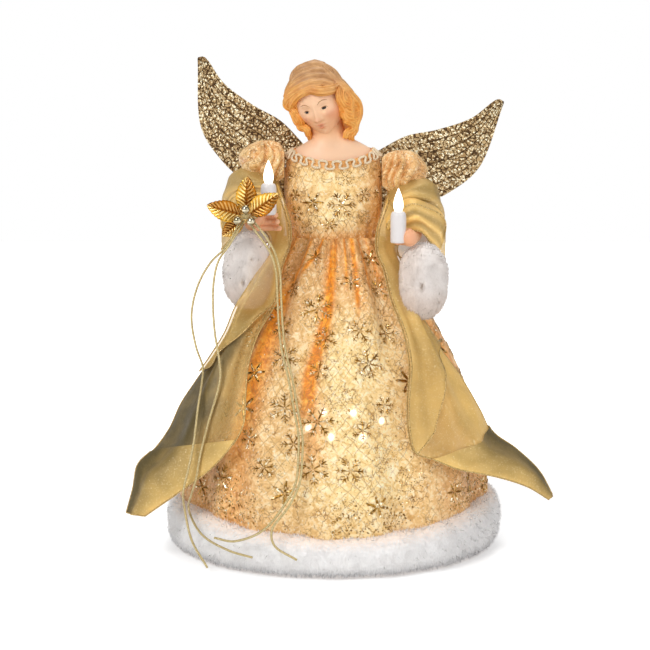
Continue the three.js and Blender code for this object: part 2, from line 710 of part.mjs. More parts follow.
// Pleated ball sleeve over the shoulder, flat against the bodice so that it can turn with the arm.
function puffBall(side, grow) {
  const centre = armPoint(side, 15, 5, 3);
  const ball = new THREE.SphereGeometry(1, 2 * PUFF_PLEATS, 9);
  const place = ball.attributes.position;
  for (let i = 0; i < place.count; i++) {
    const p = V().fromBufferAttribute(place, i);
    const pleat = Math.cos(PUFF_PLEATS * Math.atan2(p.z, p.x)) * PUFF_PLEAT_DEPTH * Math.hypot(p.x, p.z);
    const more = grow + pleat;
    p.multiply(V(PUFF_HALF_WIDTH + more, PUFF_HALF_HEIGHT + more, PUFF_HALF_DEPTH + more));
    place.setXYZ(i, p.x, p.y, p.z);
  }
  return solid(ball.rotateX(Math.PI / 2).translate(centre.x, centre.y, centre.z));
}

function puffSleeve(side) {
  const pivot = shoulderPivot(side);
  const inner = pivot.clone().setX(pivot.x - side * 4 * PUFF_HALF_WIDTH);
  const block = cylinderAlong(inner, pivot, 4 * PUFF_HALF_WIDTH, 16);
  const channel = armWireChannel(side);
  return geometryOf(largest(puffBall(side, 0).subtract(solid(block)).subtract(channel)));
}

function armWireChannel(side) {
  const straight = [-2, 0].map((out) => armPoint(side, out, 0, 0));
  return solid(tube([...straight, ...armBend(side)], ARM_WIRE_RADIUS + RUNNING_GAP, 14, 8));
}

// Organza oversleeve: a wide bell from under the puff to the wrist, flattened beside the body.
function sleeveBell(side, grow) {
  const path = new THREE.CatmullRomCurve3([
    armPoint(side, 16, 2, -4),
    armPoint(side, 24, 8, -22),
    armPoint(side, 25, 20, -37),
    armPoint(side, 25, 40, -45),
  ]);
  const rows = 40;
  const frames = path.computeFrenetFrames(rows, false);
  const nearest = Math.abs(shoulderPivot(side).x) + SLEEVE_WALL + SEAT;
  const surface = (u, v) => {
    const share = Math.min(1, Math.max(0, v));
    const row = Math.round(share * rows);
    const angle = 2 * Math.PI * u;
    const radius = SLEEVE_RADIUS * (0.78 + 0.22 * Math.sin(Math.PI * (0.15 + 0.6 * share))) - grow;
    const across = frames.normals[row].clone().multiplyScalar(Math.cos(angle));
    across.addScaledVector(frames.binormals[row], Math.sin(angle));
    const point = path.getPointAt(share).addScaledVector(across, radius);
    return point.setX(side * Math.max(side * point.x, nearest));
  };
  return solid(sheet(surface, () => SLEEVE_WALL + 2 * grow, 14, 6, true));
}

function oversleeve(side) {
  const trimmed = sleeveBell(side, 0).subtract(puffBall(side, SEAT)).subtract(cuffPad(side, SEAT));
  return geometryOf(largest(trimmed));
}

// Fur cuff: a soft hanging pad under the wrist, with a dimple where the sleeve's mouth is pinched shut.
function cuffPad(side, grow) {
  const out = side < 0 ? RIGHT_CUFF_OUT : LEFT_CUFF_OUT;
  const centre = armPoint(side, out, CUFF_FORWARD, -CUFF_DOWN);
  const pad = new THREE.SphereGeometry(1, 14, 9);
  const place = pad.attributes.position;
  for (let i = 0; i < place.count; i++) {
    const p = V().fromBufferAttribute(place, i);
    const dimple = 0.28 * Math.exp(-(p.x ** 2 / 0.05 + p.y ** 2 / 0.12)) * (p.z > 0 ? 1 : 0);
    p.multiply(V(CUFF_HALF_WIDTH + grow, CUFF_HALF_HEIGHT + grow, (CUFF_HALF_DEPTH + grow) * (1 - dimple)));
    place.setXYZ(i, p.x, p.y, p.z);
  }
  return solid(pad.rotateX(Math.PI / 2).translate(centre.x, centre.y, centre.z));
}

function furCuff(side) {
  return geometryOf(largest(cuffPad(side, 0).subtract(forearm(side, SEAT))));
}

// Hand: a moulded forearm with a fist beside the candle, the fingers closed round its back
const FINGER_RADIUS = (FINGER_PITCH + FINGER_PRESS) / 2;
const gripUp = (side) => -(side < 0 ? RIGHT_GRIP_DOWN : LEFT_GRIP_DOWN);

function forearmPath(side) {
  return [armPoint(side, 29, 28, -50), armPoint(side, 27, 40, -50), armPoint(side, 21, 54, gripUp(side) - 1)];
}

function forearm(side, grow) {
  const radius = (s) => lerp(WRIST_RADIUS, 0.86 * WRIST_RADIUS, s) + grow;
  return solid(taperedTube(forearmPath(side), radius, 3, 10));
}

// Foot of the candle: each hand holds its own candle at its own height.
function candleFoot(side) {
  return armPoint(side, GRIP_OUT, GRIP_FORWARD, gripUp(side) + (side < 0 ? RIGHT_CANDLE_UP : LEFT_CANDLE_UP));
}

function hand(side) {
  const fist = armPoint(side, FIST_OUT, GRIP_FORWARD, gripUp(side));
  const grip = armPoint(side, GRIP_OUT, GRIP_FORWARD, gripUp(side));
  const behind = CANDLE_RADIUS + SEAT + 0.8 * FINGER_RADIUS;
  let made = forearm(side, 0).add(solid(ellipsoid(fist, FIST_HALF_WIDTH, FIST_HALF_DEPTH, 8, 10, 8)));
  for (let i = 0; i < 3; i++) {
    const up = 2 - FINGER_PITCH * i;
    const reach = side < 0 ? behind + 1.8 * i : 0;
    const finger = [
      fist.clone().add(V(0, 5, up)),
      grip.clone().add(V(side * 2, behind, up)),
      grip.clone().add(V(-0.75 * side * reach, 0.8 * behind, up)),
      grip.clone().add(V(-side * (reach + 1), side < 0 ? -1 : behind, up)),
    ];
    made = made.add(solid(taperedTube(finger, (s) => FINGER_RADIUS * lerp(1, 0.86, s), 5, 7)));
  }
  const thumb = [
    fist.clone().add(V(0, -2, 4)),
    grip.clone().add(V(side * (behind + 2), -3, 8)),
    grip.clone().add(V(side * behind, -4, 11)),
  ];
  made = made.add(solid(taperedTube(thumb, (s) => FINGER_RADIUS * lerp(1.1, 0.8, s), 3, 7)));
  const foot = grip.clone().setZ(grip.z - 2 * CANDLE_HEIGHT);
  const top = grip.clone().setZ(grip.z + 2 * CANDLE_HEIGHT);
  const room = cylinderAlong(foot, top, CANDLE_RADIUS + SEAT, 12);
  return geometryOf(largest(made.subtract(solid(room))));
}

// Candle: a white tube with a rounded top and a bore for the push-in flame bulb
function candleProfile() {
  const bore = BULB_BASE_RADIUS + RUNNING_GAP;
  const shoulder = 0.8 * CANDLE_RADIUS;
  return [
    [0, 0],
    [0.94 * CANDLE_RADIUS, 0],
    [CANDLE_RADIUS, 1],
    [CANDLE_RADIUS, CANDLE_HEIGHT - 4],
    [0.96 * CANDLE_RADIUS, CANDLE_HEIGHT - 1.6],
    [shoulder, CANDLE_HEIGHT],
    [bore, CANDLE_HEIGHT],
    [bore, CANDLE_HEIGHT - BULB_BASE_LENGTH - SEAT],
    [0, CANDLE_HEIGHT - BULB_BASE_LENGTH - SEAT],
  ];
}

function flameProfile() {
  const seat = CANDLE_HEIGHT + SEAT;
  const rise = (share) => seat + share * FLAME_HEIGHT;
  return [
    [0, CANDLE_HEIGHT - BULB_BASE_LENGTH],
    [BULB_BASE_RADIUS, CANDLE_HEIGHT - BULB_BASE_LENGTH],
    [BULB_BASE_RADIUS, seat],
    [0.85 * FLAME_RADIUS, seat],
    [FLAME_RADIUS, rise(0.22)],
    [0.94 * FLAME_RADIUS, rise(0.4)],
    [0.6 * FLAME_RADIUS, rise(0.7)],
    [0.25 * FLAME_RADIUS, rise(0.92)],
    [0, rise(1)],
  ];
}

// Drapes: organza panels that trail from each sleeve over the skirt and end in a flap that turns outwards.
// Each edge is [turn from the front, height, clear of the skirt] from its second point on.
const DRAPES = {
  right: {
    side: -1,
    inner: [
      [30, 235, 27], [34, 207, 10], [39, 183, 8], [39, 159, 7], [36, 137, 7], [34, 117, 7], [36, 102, 8],
      [42, 82, 12], [50, 62, 25], [60, 39, 40],
    ],
    outer: [
      [58, 229, 13], [58, 203, 15], [58, 182, 13], [62, 162, 12], [66, 142, 14], [69, 123, 17], [68, 104, 21],
      [67, 89, 30], [67, 77, 41], [65, 59, 45], [65, 40, 50],
    ],
  },
  left: {
    side: 1,
    inner: [
      [30, 233, 24], [33, 209, 13], [36, 184, 8], [34, 160, 7], [29, 135, 7], [27, 111, 7], [28, 96, 8],
      [34, 90, 10], [42, 81, 15], [50, 75, 34], [60, 63, 46], [65, 51, 57],
    ],
    outer: [
      [58, 222, 9], [51, 200, 9], [56, 176, 7], [66, 144, 7], [67, 118, 12], [66, 102, 17], [66, 89, 34],
      [67, 72, 49], [67, 54, 58],
    ],
  },
};

function drapeEdge(side, start, points) {
  const rest = points.map(([turn, z, clear]) => skirtPoint(side * turn, z, clear));
  return new THREE.CatmullRomCurve3([start, ...rest], false, "centripetal");
}

function drape({ side, inner, outer }) {
  const innerEdge = drapeEdge(side, armPoint(side, -2, 58, -61), inner);
  const outerEdge = drapeEdge(side, armPoint(side, 8, 38, -57), outer);
  const surface = (u, v) => {
    const share = Math.min(1, Math.max(0, v));
    const across = Math.min(1, Math.max(0, u));
    const [start, end] = [innerEdge.getPointAt(share), outerEdge.getPointAt(share)];
    const point = start.clone().lerp(end, across);
    const away = V(point.x, point.y, 0).normalize();
    const belly = DRAPE_BELLY * start.distanceTo(end);
    const pleats = 0.5 + 0.5 * Math.cos(4 * Math.PI * across);
    const fold = DRAPE_FOLD * pleats * Math.sin(Math.PI * Math.min(1, share * 1.1));
    return point.addScaledVector(away, Math.sin(Math.PI * across) * (belly + fold));
  };
  const panel = solid(sheet(surface, () => -side * DRAPE_WALL, 8, 16, false));
  const around = [cuffPad(side, SEAT), forearm(side, SEAT), sleeveBell(side, SEAT)];
  return geometryOf(largest(drilled(panel, around)));
}

// Sprig: stamped gold leaves and three berries on a wire twisted round the right hand
const SPRIG_HUB = armPoint(-1, SPRIG_OUT, SPRIG_FORWARD, -SPRIG_DOWN);
// The leaves stand in two layers, aim in degrees from the figure's left, seen from the front.
const LEAVES = [
  { name: "leaf_upper", aim: 88, size: 1, layer: 1 },
  { name: "leaf_inner", aim: 34, size: 1, layer: 0 },
  { name: "leaf_outer", aim: 164, size: 1, layer: 0 },
  { name: "leaf_lower", aim: 220, size: 0.75, layer: 1 },
];
const LEAF_LAYER = 4.5;

function leafSheet(size) {
  const surface = (u, v) => {
    const along = lerp(0.02, 1, v);
    const width = LEAF_WIDTH * size * Math.sin(Math.PI * along ** 0.8) ** 0.8 * (v < 1 ? 1 : 0) + 0.5;
    const across = (u - 0.5) * width;
    const crease = 0.35 * Math.abs(across);
    return V(LEAF_LENGTH * size * along, -3.2 * Math.sin(Math.PI * 0.8 * along) - crease, across);
  };
  return sheet(surface, () => LEAF_WALL, 4, 6, false);
}

function sprig(parent) {
  const away = SPRIG_HUB_RADIUS + 1;
  let stem = solid(ellipsoid(SPRIG_HUB, SPRIG_HUB_RADIUS, SPRIG_HUB_RADIUS, SPRIG_HUB_RADIUS, 8, 6));
  for (const { name, aim, size, layer } of LEAVES) {
    const leaf = add(name, leafSheet(size), GOLD_FOIL, parent);
    const angle = degToRad(aim);
    const way = V(Math.cos(angle), 0, Math.sin(angle));
    leaf.rotation.y = -angle;
    leaf.position.copy(SPRIG_HUB).addScaledVector(way, away).add(V(0, LEAF_LAYER * layer, 0));
    const foot = leaf.position.clone().addScaledVector(way, 0.02 * LEAF_LENGTH * size - 2 * SEAT);
    stem = stem.add(solid(cylinderAlong(SPRIG_HUB, foot, SPRIG_WIRE_RADIUS, 6)));
  }
  const berries = [[0.3, 5.5], [-6, -3], [4.4, -3.6]];
  const out = SPRIG_HUB_RADIUS + SEAT + BERRY_RADIUS;
  const anchor = armPoint(-1, FIST_OUT, GRIP_FORWARD + FIST_HALF_DEPTH + SEAT, gripUp(-1));
  const tie = [anchor, anchor.clone().lerp(SPRIG_HUB, 0.5), SPRIG_HUB];
  stem = stem.add(solid(tube(tie, SPRIG_WIRE_RADIUS, 4, 6)));
  berries.forEach(([x, z], i) => {
    const centre = SPRIG_HUB.clone().add(V(x, -out - 1.5, z));
    const toHub = SPRIG_HUB.clone().sub(centre).normalize();
    const foot = centre.clone().addScaledVector(toHub, BERRY_RADIUS + SEAT);
    stem = stem.add(solid(cylinderAlong(foot, SPRIG_HUB, SPRIG_WIRE_RADIUS, 6)));
    const berry = add(`berry_${i + 1}`, new THREE.SphereGeometry(BERRY_RADIUS, 8, 6), GOLD_FOIL, parent);
    berry.position.copy(centre);
  });
  add("sprig_stem", geometryOf(stem), WIRE, parent);
}

// Cords: gold strands tied under the sprig. Two swing out and lie over the drape, two fall down the front.
const CORDS = {
  gold_cord_outer: [
    [-82, -86, 254], [-95, -83, 241], [-106, -76, 222], [-112, -68, 197], [-109, -64, 172], [-104, -63, 156],
    [-104, -74, 144], [-106, -87, 127], [-109, -92, 101], [-113, -100, 80], [-117, -100, 63], [-117, -90, 47],
    [-111, -98, 24], [-98, -109, 5],
  ],
  gold_cord_second: [
    [-80, -90, 255], [-89, -86, 242], [-93, -83, 226], [-94, -80, 206], [-93, -76, 184], [-90, -75, 164],
    [-89, -79, 149], [-98, -88, 115], [-104, -93, 91], [-107, -99, 73], [-112, -91, 57], [-115, -80, 45],
    [-103, -102, 30], [-80, -121, 22], [-62, -129, 19],
  ],
  gold_cord_third: [
    [-58, -86, 262], [-49, -82, 248], [-45, -79, 234], [-44, -77, 214], [-43, -75, 193], [-41, -79, 174],
    [-35, -93, 151], [-31, -103, 131], [-27, -112, 110], [-27, -116, 95], [-29, -120, 75], [-38, -124, 58],
    [-54, -129, 40], [-76, -123, 30], [-92, -113, 30],
  ],
  gold_cord_fourth: [
    [-55, -84, 264], [-46, -81, 249], [-42, -79, 234], [-41, -77, 214], [-40, -76, 193], [-38, -80, 174],
    [-32, -93, 151], [-28, -104, 131], [-24, -112, 110], [-24, -117, 95], [-26, -121, 75], [-34, -125, 58],
    [-47, -132, 41], [-45, -135, 30], [-28, -136, 19],
  ],
};
const CORD_TURNS = {
  gold_cord_outer: 200,
  gold_cord_second: 250,
  gold_cord_third: 290,
  gold_cord_fourth: 340,
};

// Each strand starts at its own place on the sprig's hub.
function cord(name) {
  const angle = degToRad(CORD_TURNS[name]);
  const away = SPRIG_HUB_RADIUS + SEAT + CORD_RADIUS;
  const start = SPRIG_HUB.clone().add(V(away * Math.cos(angle), 0, away * Math.sin(angle)));
  return tube([start, ...CORDS[name].map(([x, y, z]) => V(x, y, z))], CORD_RADIUS, 20, 8);
}

// Wings: cambered feather mouldings on wire stalks that plug into the back and turn there.
// Edges of the left wing from its stalk, [outward, up], leading edge first.
const WING_LEADING = [[-2, 10], [10, 28], [30, 41], [50, 51], [75, 56], [105, 66], [128, 82], [133, 80]];
const WING_TRAILING = [[0, -10], [14, -12], [40, -9], [66, -6], [88, 4], [112, 24], [133, 79]];

function wing(side) {
  const upright = (points) => points.map(([x, z]) => V(x, 0, z));
  const curve = (points) => new THREE.CatmullRomCurve3(upright(points), false, "centripetal");
  const [leading, trailing] = [curve(WING_LEADING), curve(WING_TRAILING)];
  const span = WING_LEADING.at(-1)[0];
  const surface = (u, v) => {
    const share = Math.min(1, Math.max(0, v));
    const across = Math.min(1, Math.max(0, u));
    const point = leading.getPointAt(share).lerp(trailing.getPointAt(share), across);
    const camber = 4 * Math.sin(Math.PI * u) * Math.sin(Math.PI * share);
    return V(side * point.x, WING_SWEEP * (Math.max(0, point.x) / span) ** 2 - camber, point.z);
  };
  const thickness = (u, v) => {
    const body = Math.sin(Math.PI * Math.min(1, Math.max(0, u))) ** 0.6 * (1 - 0.75 * v);
    const rib = 0.8 + 0.2 * Math.cos(2 * Math.PI * WING_RIBS * u);
    const depth = WING_EDGE_THICKNESS + (WING_ROOT_THICKNESS - WING_EDGE_THICKNESS) * body * rib;
    return -side * depth;
  };
  return sheet(surface, thickness, 10, 9, false);
}

function wingStalk() {
  const front = V(0, -WING_STALK_DEPTH, 0);
  return cylinderAlong(front, V(0, -SEAT - 0.5, 0), WING_STALK_RADIUS, 10);
}

// Assembly

const holes = stalkHoles();
add("cone_core", cone(), FORM_PLASTIC);
lightString();
add("torso_form", torsoForm(holes), FORM_PLASTIC);
add("head_and_shoulder_plate", bust(holes), SKIN);
add("bodice", bodice(holes), DRESS);
add("neckline_braid", necklineBraid(), CORD_GOLD);
add("skirt", skirt(), DRESS);
add("hem_fur", hemFur(), FUR);

for (const [name, side, turn] of [["right", -1, RIGHT_WING_TURN], ["left", 1, LEFT_WING_TURN]]) {
  const arm = new THREE.Group();
  topper.add(arm);
  add(`${name}_arm_wire`, armWire(side), WIRE, arm);
  add(`${name}_puff_sleeve`, puffSleeve(side), DRESS, arm);
  add(`${name}_oversleeve`, oversleeve(side), ORGANZA, arm);
  add(`${name}_fur_cuff`, furCuff(side), FUR, arm);
  add(`${name}_hand`, hand(side), SKIN, arm);
  add(`${name}_drape`, drape(DRAPES[name]), ORGANZA, arm);
  const candle = new THREE.Group();
  candle.position.copy(candleFoot(side));
  arm.add(candle);
  add(`${name}_candle`, turned(candleProfile(), 12), WHITE_PLASTIC, candle);
  add(`${name}_candle_bulb`, turned(flameProfile(), 12), LAMP_GLASS, candle);
  if (side < 0) {
    sprig(arm);
    for (const cordName of Object.keys(CORDS)) add(cordName, cord(cordName), CORD_GOLD, arm);
  }
  const wingGroup = new THREE.Group();
  wingGroup.position.copy(wingPivot(side));
  wingGroup.rotation.y = degToRad(-side * turn);
  topper.add(wingGroup);
  add(`${name}_wing`, wing(side), ANTIQUE_GOLD, wingGroup);
  add(`${name}_wing_stalk`, wingStalk(), WIRE, wingGroup);
}

export default topper;
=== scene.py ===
"""Angel tree topper: the looks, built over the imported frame.

Lengths are millimetres in the frame's axes, and MM turns them into metres. The figure faces -Y. side is -1
for its right and 1 for its left.
"""

import math

import bpy
import bmesh
import numpy as np
from mathutils import Euler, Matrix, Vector


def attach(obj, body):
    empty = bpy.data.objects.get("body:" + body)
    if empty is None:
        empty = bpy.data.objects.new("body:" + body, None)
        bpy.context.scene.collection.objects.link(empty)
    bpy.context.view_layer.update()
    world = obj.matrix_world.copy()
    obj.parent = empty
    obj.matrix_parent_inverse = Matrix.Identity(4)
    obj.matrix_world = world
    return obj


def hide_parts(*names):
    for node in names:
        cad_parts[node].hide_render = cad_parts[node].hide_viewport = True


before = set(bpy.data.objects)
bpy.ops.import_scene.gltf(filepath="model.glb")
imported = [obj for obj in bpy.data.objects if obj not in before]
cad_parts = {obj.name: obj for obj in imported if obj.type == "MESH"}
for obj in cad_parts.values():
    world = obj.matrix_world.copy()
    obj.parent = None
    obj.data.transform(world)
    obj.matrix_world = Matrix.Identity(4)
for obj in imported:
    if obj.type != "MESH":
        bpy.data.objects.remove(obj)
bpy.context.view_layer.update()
MM = 0.001
scene = bpy.context.scene
scene.view_settings.view_transform = "Standard"


# Camera at the photograph's view

CAMERA_AT = (-0.0067, -1.2, 0.326)  # metres
CAMERA_DOWN = 6.85  # degrees below level

lens = bpy.data.cameras.new("camera")
lens.lens = 80
lens.sensor_width = 36
lens.clip_start = 0.05
camera = bpy.data.objects.new("camera", lens)
camera.location = CAMERA_AT
camera.rotation_euler = (math.radians(90 - CAMERA_DOWN), 0, 0)
scene.collection.objects.link(camera)
scene.camera = camera


# Numbers shared with the solids

SEAT = 0.3  # gap between two pieces that rest on each other
CONE_H = 250.0
PLATE_Z = 300.3  # seat of the shoulder plate
WAIST_Z = 255.72
HEM_W, HEM_D = 131.0, 121.0  # half width and half depth
WAIST_W, WAIST_D = 39.8, 30.8
FOLDS, FOLD_DEPTH = 9, 8.0
FOLD_START, FOLD_SWEEP, FOLD_SETTLE = 2.0, 16.0, 0.4  # a valley's turn at the waist, its drift, its fall
BELL_FULLNESS = 1.2
SIDE_FOLD_DEPTH, SIDE_FOLD_TURN, SIDE_FOLD_WIDTH = 5.0, -36.0, 6.5
RIPPLE_DEPTH, RIPPLES, RIPPLE_LEAN = 3.0, 17, 7.0
FUR_T, FUR_FRONT, FUR_SIDE = 26.0, 33.0, 47.0  # thickness, and height at the front and at the sides
NECK_TOP, NECK_DROP = 28.5, 10.5  # neckline above the plate's seat, and its dip at the front
BODICE_CLEAR = 2.6  # cloth off the torso form
PIVOT = {-1: np.array([-41.0, -2.0, 314.3]), 1: np.array([41.0, -2.0, 306.3])}  # shoulder joints
GRIP = {-1: -40.0, 1: -48.0}  # hand above its shoulder joint
SIDES = {-1: "right", 1: "left"}


def arm(side, out, fwd, up):
    """A place on an arm, from its shoulder joint."""
    return PIVOT[side] + np.array([side * out, -fwd, up])


HUB = arm(-1, 27, 78, -38)  # middle of the sprig


def lerp(a, b, t):
    return a + (b - a) * t


def smooth(a, b, x):
    t = np.clip((x - a) / (b - a), 0, 1)
    return t * t * (3 - 2 * t)


def gauss(x, s):
    return np.exp(-((x / s) ** 2))


def ripple(x, y, seed, waves=7):
    """Repeatable noise: a sum of sines in seeded directions."""
    rng = np.random.default_rng(seed)
    out = np.zeros(np.broadcast(x, y).shape)
    for _ in range(waves):
        a = rng.uniform(0, 2 * math.pi)
        f = rng.uniform(0.6, 2.2)
        out += np.sin(f * (np.cos(a) * x + np.sin(a) * y) + rng.uniform(0, 6.28)) / waves
    return out * 1.6


def around(count):
    """Angles once round, as a row."""
    return np.linspace(0, 2 * math.pi, count, endpoint=False)[None]


def turns(rows, cols):
    """Degrees once round from the back, the same in each row."""
    return np.linspace(-180, 180, cols, endpoint=False)[None] * np.ones((rows, 1))


def shares(count):
    """0 to 1, as a column."""
    return np.linspace(0, 1, count)[:, None]


# Meshes

def new_object(name, data):
    obj = bpy.data.objects.new(name, data)
    scene.collection.objects.link(obj)
    return obj


def add_fields(me, fields):
    """Values per vertex, which the materials read by name."""
    for key, values in fields.items():
        layer = me.attributes.new(key, "FLOAT", "POINT")
        layer.data.foreach_set("value", np.asarray(values, np.float32).ravel())


def vertices(obj):
    """A mesh's points, in metres."""
    co = np.zeros(len(obj.data.vertices) * 3, np.float32)
    obj.data.vertices.foreach_get("co", co)
    return co.reshape(-1, 3)


def new_mesh(name, verts, quads=None, tris=None, uv=None, attrs=None, smooth_faces=True):
    """An object from arrays: verts in mm, quads and tris as index arrays, uv and attrs per vertex."""
    verts = np.asarray(verts, np.float32).reshape(-1, 3) * MM
    faces = [(f, n) for f, n in ((quads, 4), (tris, 3)) if f is not None and len(f)]
    parts = [np.asarray(f, np.int32).reshape(-1, n) for f, n in faces]
    me = bpy.data.meshes.new(name)
    me.vertices.add(len(verts))
    me.vertices.foreach_set("co", verts.ravel())
    loops = np.concatenate([p.ravel() for p in parts])
    sizes = np.concatenate([np.full(len(p), p.shape[1]) for p in parts])
    me.loops.add(len(loops))
    me.loops.foreach_set("vertex_index", loops)
    me.polygons.add(len(sizes))
    me.polygons.foreach_set("loop_start", np.concatenate([[0], np.cumsum(sizes)[:-1]]).astype(np.int32))
    me.polygons.foreach_set("use_smooth", np.full(len(sizes), smooth_faces))
    me.update(calc_edges=True)
    if uv is not None:
        layer = me.uv_layers.new(name="mm")
        layer.data.foreach_set("uv", np.asarray(uv, np.float32).reshape(-1, 2)[loops].ravel())
    add_fields(me, attrs or {})
    me.validate()
    return new_object(name, me)


def grid_quads(rows, cols, wrap=False):
    j, i = np.meshgrid(np.arange(rows - 1), np.arange(cols if wrap else cols - 1), indexing="ij")
    a = j * cols + i
    b = j * cols + (i + 1) % cols
    return np.stack([a, b, b + cols, a + cols], -1).reshape(-1, 4)


def grid(name, points, wrap=False, uv=None, attrs=None, flip=False):
    rows, cols = points.shape[:2]
    quads = grid_quads(rows, cols, wrap)
    if flip:
        quads = quads[:, ::-1]
    return new_mesh(name, points.reshape(-1, 3), quads=quads, uv=uv, attrs=attrs)


def grid_normals(points):
    """Normals of a grid whose rows close."""
    du = np.roll(points, -1, 1) - np.roll(points, 1, 1)
    dv = np.gradient(points, axis=0)
    n = np.cross(du, dv)
    return n / np.maximum(np.linalg.norm(n, axis=-1, keepdims=True), 1e-9)


def lathe(name, profile, segments, centre):
    """A body turned from [radius, height] points."""
    profile = np.asarray(profile, float)
    a = np.linspace(0, 2 * math.pi, segments, endpoint=False)
    pts = np.zeros((len(profile), segments, 3))
    pts[..., 0] = profile[:, :1] * np.cos(a)
    pts[..., 1] = profile[:, :1] * np.sin(a)
    pts[..., 2] = profile[:, 1:2]
    return grid(name, pts + np.asarray(centre), wrap=True)


def smooth_profile(points, per=6):
    """A round line through [radius, height] points."""
    line = np.c_[np.asarray(points, float), np.zeros(len(points))]
    return catmull(line, per * (len(points) - 1) + 1)[:, :2]


def lengths_along(path):
    """Distance from the first point, at each point of a path."""
    return np.concatenate([[0], np.cumsum(np.linalg.norm(np.diff(path, axis=0), axis=1))])


def blend(t, ta, tb, a, b):
    """From a at ta to b at tb."""
    return (tb - t) / (tb - ta) * a + (t - ta) / (tb - ta) * b


def catmull(points, count):
    """Centripetal Catmull-Rom through the points, evenly spaced by length."""
    p = np.asarray(points, float)
    p = np.vstack([2 * p[0] - p[1], p, 2 * p[-1] - p[-2]])
    fine = []
    for k in range(1, len(p) - 2):
        p0, p1, p2, p3 = p[k - 1 : k + 3]
        t0 = 0.0
        t1 = t0 + max(np.linalg.norm(p1 - p0), 1e-6) ** 0.5
        t2 = t1 + max(np.linalg.norm(p2 - p1), 1e-6) ** 0.5
        t3 = t2 + max(np.linalg.norm(p3 - p2), 1e-6) ** 0.5
        t = np.linspace(t1, t2, 24, endpoint=k == len(p) - 3)[:, None]
        a1, a2, a3 = blend(t, t0, t1, p0, p1), blend(t, t1, t2, p1, p2), blend(t, t2, t3, p2, p3)
        b1, b2 = blend(t, t0, t2, a1, a2), blend(t, t1, t3, a2, a3)
        fine.append(blend(t, t1, t2, b1, b2))
    fine = np.vstack(fine)
    s = lengths_along(fine)
    want = np.linspace(0, s[-1], count)
    return np.stack([np.interp(want, s, fine[:, k]) for k in range(3)], -1)


def frames(path):
    """Tangents and two turning-free normals along a path."""
    t = np.gradient(path, axis=0)
    t /= np.linalg.norm(t, axis=1, keepdims=True)
    n = np.zeros_like(t)
    ref = np.array([0, 0, 1.0]) if abs(t[0, 2]) < 0.9 else np.array([1.0, 0, 0])
    n[0] = np.cross(np.cross(t[0], ref), t[0])
    n[0] /= np.linalg.norm(n[0])
    for k in range(1, len(t)):
        v = n[k - 1] - t[k] * np.dot(n[k - 1], t[k])
        n[k] = v / np.linalg.norm(v)
    return t, n, np.cross(t, n)


def closed_rings(pts, first, last):
    """Points, quads and end triangles of a row of rings that closes to a point at both ends."""
    rows, cols = pts.shape[:2]
    verts = np.vstack([pts.reshape(-1, 3), [first, last]])
    i = np.arange(cols)
    j = (i + 1) % cols
    end = (rows - 1) * cols
    near = np.stack([j, i, np.full(cols, rows * cols)], -1)
    far = np.stack([i + end, j + end, np.full(cols, rows * cols + 1)], -1)
    return verts, grid_quads(rows, cols, True), np.vstack([near, far])


def tube_arrays(path, radius, sides, ridge=0, ridge_depth=0.0, flat=1.0, twist=0.0):
    """Points, quads and end triangles of a tube. radius is a number or one per path point."""
    _, n, b = frames(path)
    r = np.broadcast_to(radius, len(path))[:, None]
    a = around(sides) + twist * shares(len(path))
    rr = r * (1 + ridge_depth * np.cos(ridge * a)) if ridge else r * np.ones_like(a)
    across, along = rr * np.cos(a), rr * flat * np.sin(a)
    pts = path[:, None] + across[..., None] * n[:, None] + along[..., None] * b[:, None]
    return closed_rings(pts, path[0], path[-1])


class Pile:
    """Several bodies gathered into one mesh."""

    def __init__(self):
        self.verts, self.quads, self.tris, self.attrs, self.count = [], [], [], {}, 0

    def add(self, verts, quads=None, tris=None, **attrs):
        verts = np.asarray(verts, float).reshape(-1, 3)
        self.verts.append(verts)
        if quads is not None and len(quads):
            self.quads.append(np.asarray(quads).reshape(-1, 4) + self.count)
        if tris is not None and len(tris):
            self.tris.append(np.asarray(tris).reshape(-1, 3) + self.count)
        for key, value in attrs.items():
            self.attrs.setdefault(key, []).append(np.broadcast_to(value, len(verts)))
        self.count += len(verts)

    def tube(self, path, radius, sides, attrs=None, **how):
        v, q, c = tube_arrays(np.asarray(path, float), radius, sides, **how)
        self.add(v, q, c, **(attrs or {}))

    def make(self, name, smooth_faces=True):
        return new_mesh(
            name,
            np.vstack(self.verts),
            np.vstack(self.quads) if self.quads else None,
            np.vstack(self.tris) if self.tris else None,
            attrs={k: np.concatenate(v) for k, v in self.attrs.items()},
            smooth_faces=smooth_faces,
        )


def finish_piece(obj, body, slot, material, *nodes):
    """Gives a piece its material and body, and hides the nodes that it stands for; slot is not used."""
    obj.data.materials.clear()
    obj.data.materials.append(material)
    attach(obj, body)
    if nodes:
        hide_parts(*nodes)
    return obj


# Materials

LATTICE = 7.5, 11.0  # diamonds quilted into the dress cloth, across and down
WEAVE = 0.9


